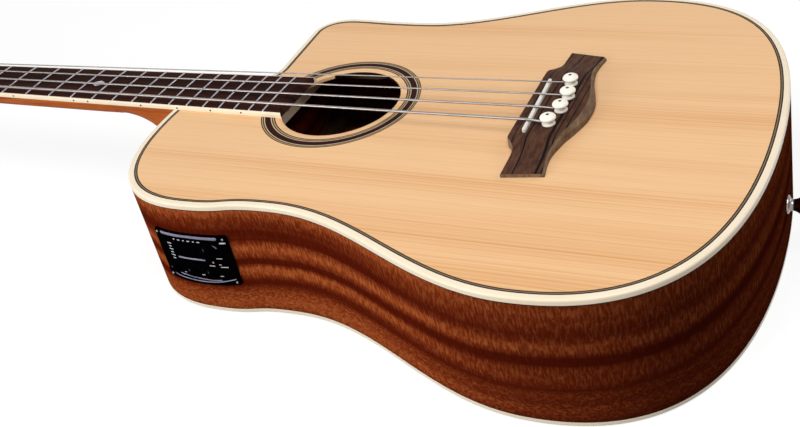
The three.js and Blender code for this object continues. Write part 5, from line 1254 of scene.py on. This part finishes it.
def bridge():
    """Sections across the bridge, from one wing over the thick middle to the other, with a bevelled back edge."""
    half = smooth_line(BRIDGE_SHARES, 7)
    shares = np.concatenate([half * (-1, 1, 1, 1), half[-2::-1]])
    span, step, belly, rise = shares.T
    front = BRIDGE_X - step * FRONT_STEP
    back = BRIDGE_X + WING_DEPTH + belly * BELLY
    high = WING_HEIGHT + rise * (BRIDGE_HEIGHT - WING_HEIGHT)
    bevel = 0.4 + 0.6 * np.clip(belly, 0, 1)
    wide, drop = bevel * BEVEL_WIDTH, bevel * BEVEL_DROP
    base = np.full(len(span), 0.1)
    bevel_start = back - wide
    columns = [
        (front, base), (front, high - 1.1), (front + 0.15, high - 0.5), (front + 0.5, high - 0.15), (front + 1.1, high),
        ((front + bevel_start) / 2, high), (bevel_start - 0.6, high), (bevel_start + 0.5, high - 0.3),
        (back - wide / 2, high - 0.56 * drop), (back - 0.3, high - drop), (back, high - drop - 0.4), (back, base),
    ]
    rows = []
    for x, z in columns:
        y = span * BRIDGE_HALF * (1 - END_SLANT * (x - front) / (back - front))
        rows.append(np.stack([x, BRIDGE_SHIFT + y, z], -1))
    skin("rosewood_bridge", np.stack(rows, 1), BRIDGE_WOOD, "rosewood", replaces=["bridge"], crease=32)


def saddle():
    """A slanted bar of bone with a rounded crest and round ends."""
    share = np.sin(np.linspace(-math.pi / 2, math.pi / 2, 41))
    length = share * SADDLE_LENGTH / 2
    inside = np.clip((SADDLE_LENGTH / 2 - np.abs(length)) / (SADDLE_THICKNESS / 2), 0, 1)
    thick = SADDLE_THICKNESS / 2 * np.sqrt(np.maximum(1 - (1 - inside) ** 2, 0.02))
    turn = np.linspace(0, math.pi, 11)
    low, shoulder = 5.6, SADDLE_TOP - 1.3
    x = thick[:, None] * np.concatenate([np.cos(turn), [-1, 1]])
    crest = 1.3 * (0.55 + 0.45 * np.sqrt(inside))[:, None] * np.sin(turn)
    z = np.concatenate([shoulder + crest, np.full((41, 2), low)], 1)
    c, s = math.cos(SADDLE_SLANT), math.sin(SADDLE_SLANT)
    y = np.broadcast_to(length[:, None], x.shape)
    sections = np.stack([SADDLE_X + c * x - s * y, SADDLE_SHIFT + s * x + c * y, z], -1)
    skin("bone_saddle", sections, BONE, "bone", replaces=["saddle"], crease=60)


def bridge_pins():
    """Turned pins: a tapering shank, a low collar, a narrow neck and a domed head with a dark dot."""
    dome = np.linspace(0, math.pi / 2, 12)
    head = np.column_stack([0.35 + 6.05 * np.cos(dome) ** 0.85, 6.0 + 2.9 * np.sin(dome)])
    under = np.column_stack([4.2 + 2.2 * np.sin(dome) ** 1.2, 4.5 + 1.5 * (1 - np.cos(dome))])
    collar = [(5.0, 0.15), (5.3, 0.5), (5.35, 1.1), (5.0, 1.7), (4.3, 2.1), (3.8, 2.6)]
    shank = [(0, -24), (1.9, -23.8), (2.8, -22.4), (3.0, -21), (3.6, 0.05)]
    profile = [*shank, *collar, (3.75, 3.6), (3.9, 4.3), *under.tolist(), *head.tolist(), (0, 8.92)]
    for number, string in enumerate(STRINGS):
        x, y = pin_place(number)
        turned = lathe_part(profile, 48, (x, y, BRIDGE_HEIGHT))
        pin = "pin_" + string
        piece(pin, *turned, IVORY, "pin_plastic", body=pin, replaces=["bridge_" + pin], crease=60)
        dot = lathe_part([(0, 8.4), (1.35, 8.4), (1.35, 8.86), (1.1, 8.95), (0, 9.0)], 24, (x, y, BRIDGE_HEIGHT))
        piece("pin_dot_" + string, *dot, DOT_BLACK, "pin_plastic", body=pin)


bridge()
saddle()
bridge_pins()

# ---- End pin

END_PIN_DEPTH = 68.0


def end_pin():
    """A turned metal button: washer, waist, flared rim and the socket's mouth."""
    base = TAIL + SEAM
    outside = [
        (7.2, 0), (7.3, 0.8), (7.0, 1.6), (5.4, 2.2), (4.7, 3.2), (4.5, 5), (4.9, 7), (5.9, 9), (7.0, 10.6), (7.3, 11.4),
        (7.3, 12.4), (7.0, 12.9), (5.2, 13), (4.6, 12.7), (3.4, 12.6), (3.2, 12.2), (3.2, -8), (0, -8),
    ]
    profile = [(0, TAIL - 34), (6, TAIL - 34), (6, base), *((radius, base + along) for radius, along in outside)]
    part = lathe_part(profile, 56, (0, 0, -END_PIN_DEPTH), "x")
    piece("end_button", *part, PIN_NICKEL, "tuner_chrome", replaces=["end_pin"], crease=40)


end_pin()

# ---- Preamp

PANEL_X = 620.2
PANEL_LENGTH = 69.0
PANEL_TOP = -27.4
PANEL_HEIGHT = 50.0
PANEL_LOW = PANEL_TOP - PANEL_HEIGHT
PANEL_START = PANEL_X - PANEL_LENGTH / 2
PANEL_END = PANEL_X + PANEL_LENGTH / 2
PANEL_THICKNESS = 2.0
MARK_SHIFT = 1.8
KNOB_LIFT = 0.5
KNOB_STEM = 2.2
UNIT_SQUARE = np.array([(-1, -1), (1, -1), (1, 1), (-1, 1)])
bass_line = OUTLINE[(OUTLINE[:, 1] < -BOARD_SIDE) & (OUTLINE[:, 0] < LOWER_X)]


def on_panel(x, z, lift=0.0):
    """A point over the panel's face, which follows the bent side."""
    x, z = np.broadcast_arrays(np.asarray(x, float), np.asarray(z, float))
    face = np.interp(x, bass_line[:, 0], bass_line[:, 1]) - SEAM - PANEL_THICKNESS
    return np.stack([x, face - lift, z], -1)


def panel_loop():
    """The panel's edge as (x, z): straight top and sides with round corners, and a bowed lower edge."""
    bow = np.linspace(1, -1, 25)
    lower = [(PANEL_X + 0.9 * b * PANEL_LENGTH / 2, PANEL_LOW + 1.2 * (b ** 2)) for b in bow]
    corner = 3.0
    parts = [
        rounded((PANEL_START, PANEL_TOP), (PANEL_START, PANEL_LOW), (PANEL_END, PANEL_TOP), corner, 8),
        rounded((PANEL_END, PANEL_TOP), (PANEL_START, PANEL_TOP), (PANEL_END, PANEL_LOW), corner, 8),
        rounded((PANEL_END, PANEL_LOW + 1.2), (PANEL_END, PANEL_TOP), (PANEL_START, PANEL_LOW + 1.2), corner, 8),
        lower[1:-1],
        rounded((PANEL_START, PANEL_LOW + 1.2), (PANEL_END, PANEL_LOW + 1.2), (PANEL_START, PANEL_TOP), corner, 8),
    ]
    corners = np.concatenate(parts)
    ends = np.roll(corners, -1, 0)
    steps = np.maximum(np.linalg.norm(ends - corners, axis=1) // 2, 1).astype(int)
    return np.concatenate([a + (b - a) * np.arange(n)[:, None] / n for a, b, n in zip(corners, ends, steps)])


def drawn_in(loop, centre, steps):
    """Rings of an edge drawn in towards a middle by (share, lift) steps, laid over the bent side."""
    lines = [(centre + (loop - centre) * share, lift) for share, lift in steps]
    return np.stack([on_panel(line[:, 0], line[:, 1], lift) for line, lift in lines])


def panel():
    """The panel's plate, with a soft rim round a slightly sunk face."""
    centre = np.array([PANEL_X, (PANEL_TOP + PANEL_LOW) / 2])
    rim = [(1, -PANEL_THICKNESS), (1, -0.7), (0.985, -0.1), (0.965, 0)]
    sunk = [(share, -0.25) for share in (0.94, 0.925, 0.8, 0.6, 0.4, 0.2, 0.02)]
    rings = drawn_in(panel_loop(), centre, rim + sunk)
    skin("preamp_face", rings, PANEL_BLACK, "preamp_black", replaces=["preamp_panel"], crease=30)


def on_face_strip(name, line, width, height, slot):
    """A low rounded grey strip along a line of (x, z) places on the panel."""
    line = smooth_line(line, 30)
    normal = left_of(unit(np.gradient(line, axis=0)))
    turn = np.linspace(0, math.pi, 10)
    from_end = np.minimum(np.arange(len(line)), np.arange(len(line))[::-1])
    taper = np.sqrt(np.clip(from_end, 0.1, 1))
    across = taper[:, None] * width / 2 * np.cos(turn)
    lift = -0.3 + taper[:, None] * height * np.sin(turn)
    x = line[:, :1] + normal[:, :1] * across
    z = line[:, 1:] + normal[:, 1:] * across
    skin(name, on_panel(x, z, lift), LILAC_GREY, slot, crease=60)


def small_marks():
    """Plain pale ticks on the panel: a row of lamps, the slide marks and the scale marks at the knobs."""
    parts = []
    places = [(PANEL_START + 18.5 + 4.7 * i, PANEL_TOP - 6.6, 1.5 + 0.9 * (i % 2), 0.9) for i in range(6)]
    places += [(PANEL_START + 11.5, PANEL_TOP - 12.0 - 3.0 * i, 4.2 - 1.4 * (i % 2), 0.8) for i in range(6)]
    places += [(PANEL_END - inwards, PANEL_TOP - down, wide, tall) for inwards, down, wide, tall in (
        (6, 6.8, 5.0, 1.3), (21.5, 29.6, 5.0, 0.8), (13, 22, 5.0, 0.6), (14, 28, 2.0, 0.7), (11, 30.6, 6.4, 0.7),
    )]
    places += [(PANEL_START + 19 + 17 * i, PANEL_LOW + 10.2, 3.0, 0.6) for i in range(3)]
    for x, z, wide, tall in places:
        loop = UNIT_SQUARE * (wide / 2, tall / 2) + (x + MARK_SHIFT, z)
        rings = [on_panel(loop[:, 0], loop[:, 1], lift) for lift in (-0.5, -0.12)]
        parts.append(sections_part(np.stack(rings)))
    piece("panel_marks", *merged(*parts), MARK_PALE, "display_smoke", crease=20)


def panel_screws():
    """Four small domed screws at the panel's corners."""
    parts = []
    for x in (PANEL_START + 3.2, PANEL_END - 3.2):
        for z in (PANEL_TOP - 3.2, PANEL_LOW + 4.2):
            profile = [(0, -0.6), (1.0, -0.6), (1.0, 0.1), (0.8, 0.35), (0.4, 0.45), (0, 0.3)]
            parts.append(lathe_part(profile, 20, on_panel(x, z), "-y"))
    piece("panel_screws", *merged(*parts), ROD_STEEL, "truss_steel", crease=40)


def display():
    """A dark window with a slightly raised edge, and under it a pale bar that is a painted highlight."""
    centre = np.array([PANEL_X - 4.5, PANEL_TOP - 16.5])
    turn = whole_turn(48)
    box_shape = np.stack([np.cos(turn), np.sin(turn)], -1)
    box_shape /= (np.abs(box_shape) ** 10).sum(1)[:, None] ** 0.1
    steps = [(1, -1.4), (1, 0), (0.97, 0.15), (0.93, 0.15), (0.91, -0.05), (0.4, -0.05), (0.02, -0.05)]
    rings = drawn_in(box_shape * (14.5, 9.5) + centre, centre, steps)
    skin("display_window", rings, DISPLAY_GLASS, "display_smoke", replaces=["preamp_display"], crease=30)
    # Painted highlight: a pale strip near the window's lower edge
    bar = centre + (MARK_SHIFT, -7.8) + [(-13, 0), (0, 0), (13, 0)]
    on_face_strip("display_highlight_bar", bar, 1.6, 0.8, "display_smoke")


def knob(name, node, x, z, radius, height):
    """A round knob with a softened rim, a pale pointer line and its stem."""
    top = KNOB_LIFT + height
    profile = [
        (0, -7), (KNOB_STEM, -7), (KNOB_STEM, KNOB_LIFT), (radius, KNOB_LIFT), (radius, KNOB_LIFT + 0.4 * height),
        (radius * 0.97, top - 0.8), (radius * 0.9, top - 0.2), (radius * 0.8, top), (0, top),
    ]
    centre = on_panel([x - radius, x, x + radius], z)[:, 1].min()
    centre = np.array([x, centre, z])
    body_name = node.replace("_knob", "") + "_control"
    turned = lathe_part(profile, 40, centre, "-y")
    piece(name, *turned, PANEL_BLACK, "preamp_black", body=body_name, replaces=[node], crease=35)
    line = np.array([(-0.35, 0.35), (0.35, 0.35), (0.35, 0.82), (-0.35, 0.82)]) * (1, radius)
    rings = [centre + np.column_stack([line[:, 0], np.full(4, -top - lift), line[:, 1]]) for lift in (-0.3, 0.05)]
    skin(name + "_line", np.stack(rings), POINTER_GREY, "preamp_black", body=body_name)


def preamp():
    """The panel and everything that shows on it."""
    panel()
    display()
    small_marks()
    panel_screws()
    top_z = PANEL_TOP - 2.6
    strip = [(PANEL_START + 7, top_z), (PANEL_X, top_z + 0.5), (PANEL_END - 8, top_z)]
    on_face_strip("upper_strip", strip, 3.0, 0.4, "display_smoke")
    # Painted highlight: a pale arc on the panel for the light on the volume knob's rim
    arc = np.linspace(2.5, 0.5, 7)
    rim_highlight_line = np.column_stack([PANEL_END - 15.2 + 5.2 * np.cos(arc), PANEL_TOP - 14.4 + 5.2 * np.sin(arc)])
    on_face_strip("volume_rim_highlight", rim_highlight_line, 1.0, 0.4, "display_smoke")
    # A low raised ridge on the lower panel, drawn pale grey as its painted highlight; the inner strip is a second
    # painted highlight line
    low = PANEL_LOW + 3.2
    ridge = [
        (PANEL_START + 2, low + 6.5), (PANEL_START + 5.5, low + 4.6), (PANEL_START + 10, low + 1.8),
        (PANEL_START + 25, low + 0.3), (PANEL_X + 6, low), (PANEL_X + 18, low + 1.2), (PANEL_END - 3, low + 4),
    ]
    on_face_strip("lower_ridge_highlight", ridge, 0.9, 0.5, "preamp_black")
    inner = [
        (PANEL_START + 14, low + 5), (PANEL_START + 29, low + 3.2), (PANEL_X + 10, low + 2.2), (PANEL_X + 19, low + 2.8),
    ]
    on_face_strip("inner_ridge_highlight", inner, 0.8, 0.5, "preamp_black")
    volume_x, volume_z = PANEL_END - 16.5, PANEL_TOP - 11.28
    knob("volume_dial", "volume_knob", volume_x, volume_z, 5.5, 6)
    for i, tone in enumerate(("bass", "middle", "treble")):
        knob("tone_dial_" + tone, "tone_knob_" + tone, PANEL_X + (i - 1) * 18 - 6, PANEL_LOW + 14, 4, 2.6)
    button_place = on_panel(volume_x, volume_z - 13.5)
    cap_profile = [(0, -2.6), (2.1, -2.6), (2.1, 0.7), (1.8, 1.1), (1.2, 1.2), (0, 1.2)]
    cap = lathe_part(cap_profile, 28, button_place, "-y")
    piece("notch_cap", *cap, PANEL_BLACK, "button_pink", body="notch_switch", replaces=["notch_button"], crease=40)
    spot = lathe_part([(0, 1.1), (1.0, 1.1), (0.9, 1.26), (0, 1.3)], 20, button_place, "-y")
    piece("notch_spot", *spot, BUTTON_ROSE, "button_pink", body="notch_switch")


preamp()

# ---- Finishes of the solids that stay

STAYING = {
    BRACE_WOOD: ("transverse_brace",),
    # The parts inside the body take the dark spruce of painted shade
    INTERIOR_SHADE_WOOD: ("top_lining", "back_lining", "soundboard_braces", "bridge_plate", "back_braces"),
    BLOCK_WOOD: ("neck_block", "tail_block"),
    BONE: ("nut",),
    ROD_STEEL: ("truss_rod", "truss_rod_nut"),
    CHROME: tuple(kind + s for kind in ("tuner_casing_", "tuner_post_") for s in STRINGS),
    DULL_BLACK: ("preamp_housing", "saddle_pickup"),
}
for finish, names in STAYING.items():
    for name in names:
        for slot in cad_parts[name].material_slots:
            slot.material = finish

# ---- Floor and light

FLOOR_HALF = 6.0
FLOOR_DROP = 0.0006


def rays_that_show(graph):
    """One for the rays that make up the picture, and nought for those that light the object."""
    rays = graph.add("ShaderNodeLightPath").outputs
    through = graph.sum("MAXIMUM", rays["Is Glossy Ray"], rays["Is Transmission Ray"])
    return graph.sum("MAXIMUM", rays["Is Camera Ray"], through)


def floor():
    """A pale floor that the camera sees almost white, apart from the shadow."""
    material, graph, shader, _ = begin("studio_floor", Roughness=0.9, Specular_IOR_Level=0.1)
    shader.inputs["Base Color"].default_value = rgb(140, 140, 140)
    shader.inputs["Emission Color"].default_value = (1, 1, 1, 1)
    glow = graph.times(rays_that_show(graph), 0.8)
    graph.tree.links.new(glow, shader.inputs["Emission Strength"])
    mesh = bpy.data.meshes.new("studio_floor")
    corners = [(x * FLOOR_HALF, y * FLOOR_HALF, -FLOOR_DROP) for x, y in UNIT_SQUARE.tolist()]
    mesh.from_pydata(corners, [], [(0, 1, 2, 3)])
    mesh.materials.append(material)
    thing = bpy.data.objects.new("studio_floor", mesh)
    bpy.context.collection.objects.link(thing)


def soft_light(name, place, target, size, power):
    """A white soft box that looks at a target."""
    data = bpy.data.lights.new(name, "AREA")
    data.shape = "RECTANGLE"
    data.size, data.size_y = size
    data.energy = power
    lamp = bpy.data.objects.new(name, data)
    bpy.context.collection.objects.link(lamp)
    lamp.location = place
    lamp.rotation_euler = (Vector(target) - Vector(place)).to_track_quat("-Z", "Y").to_euler()


def studio():
    """White surroundings for what is seen, a lower level for what lights the object, and soft boxes."""
    world = bpy.data.worlds.new("studio_world")
    bpy.context.scene.world = world
    world.use_nodes = True
    tree = world.node_tree
    tree.nodes.clear()
    graph = Graph(tree)
    level = graph.sum("MULTIPLY_ADD", rays_that_show(graph), 0.8, 0.2)
    background = graph.add("ShaderNodeBackground", {"Color": (1, 1, 1, 1), "Strength": level})
    out = graph.add("ShaderNodeOutputWorld")
    tree.links.new(background.outputs[0], out.inputs[0])
    soft_light("overhead_box", (0.55, -0.5, 1.45), (0.35, -0.05, 0.1), (1.3, 1.0), 16.4)
    soft_light("tail_box", (1.7, 1.3, 1.0), (0.2, 0, 0.1), (1.0, 0.8), 8)
    soft_light("front_box", (-1.0, -1.8, 0.7), (0.1, -0.1, 0.05), (1.2, 0.8), 29)


floor()
studio()
bpy.context.scene.view_settings.view_transform = "Standard"
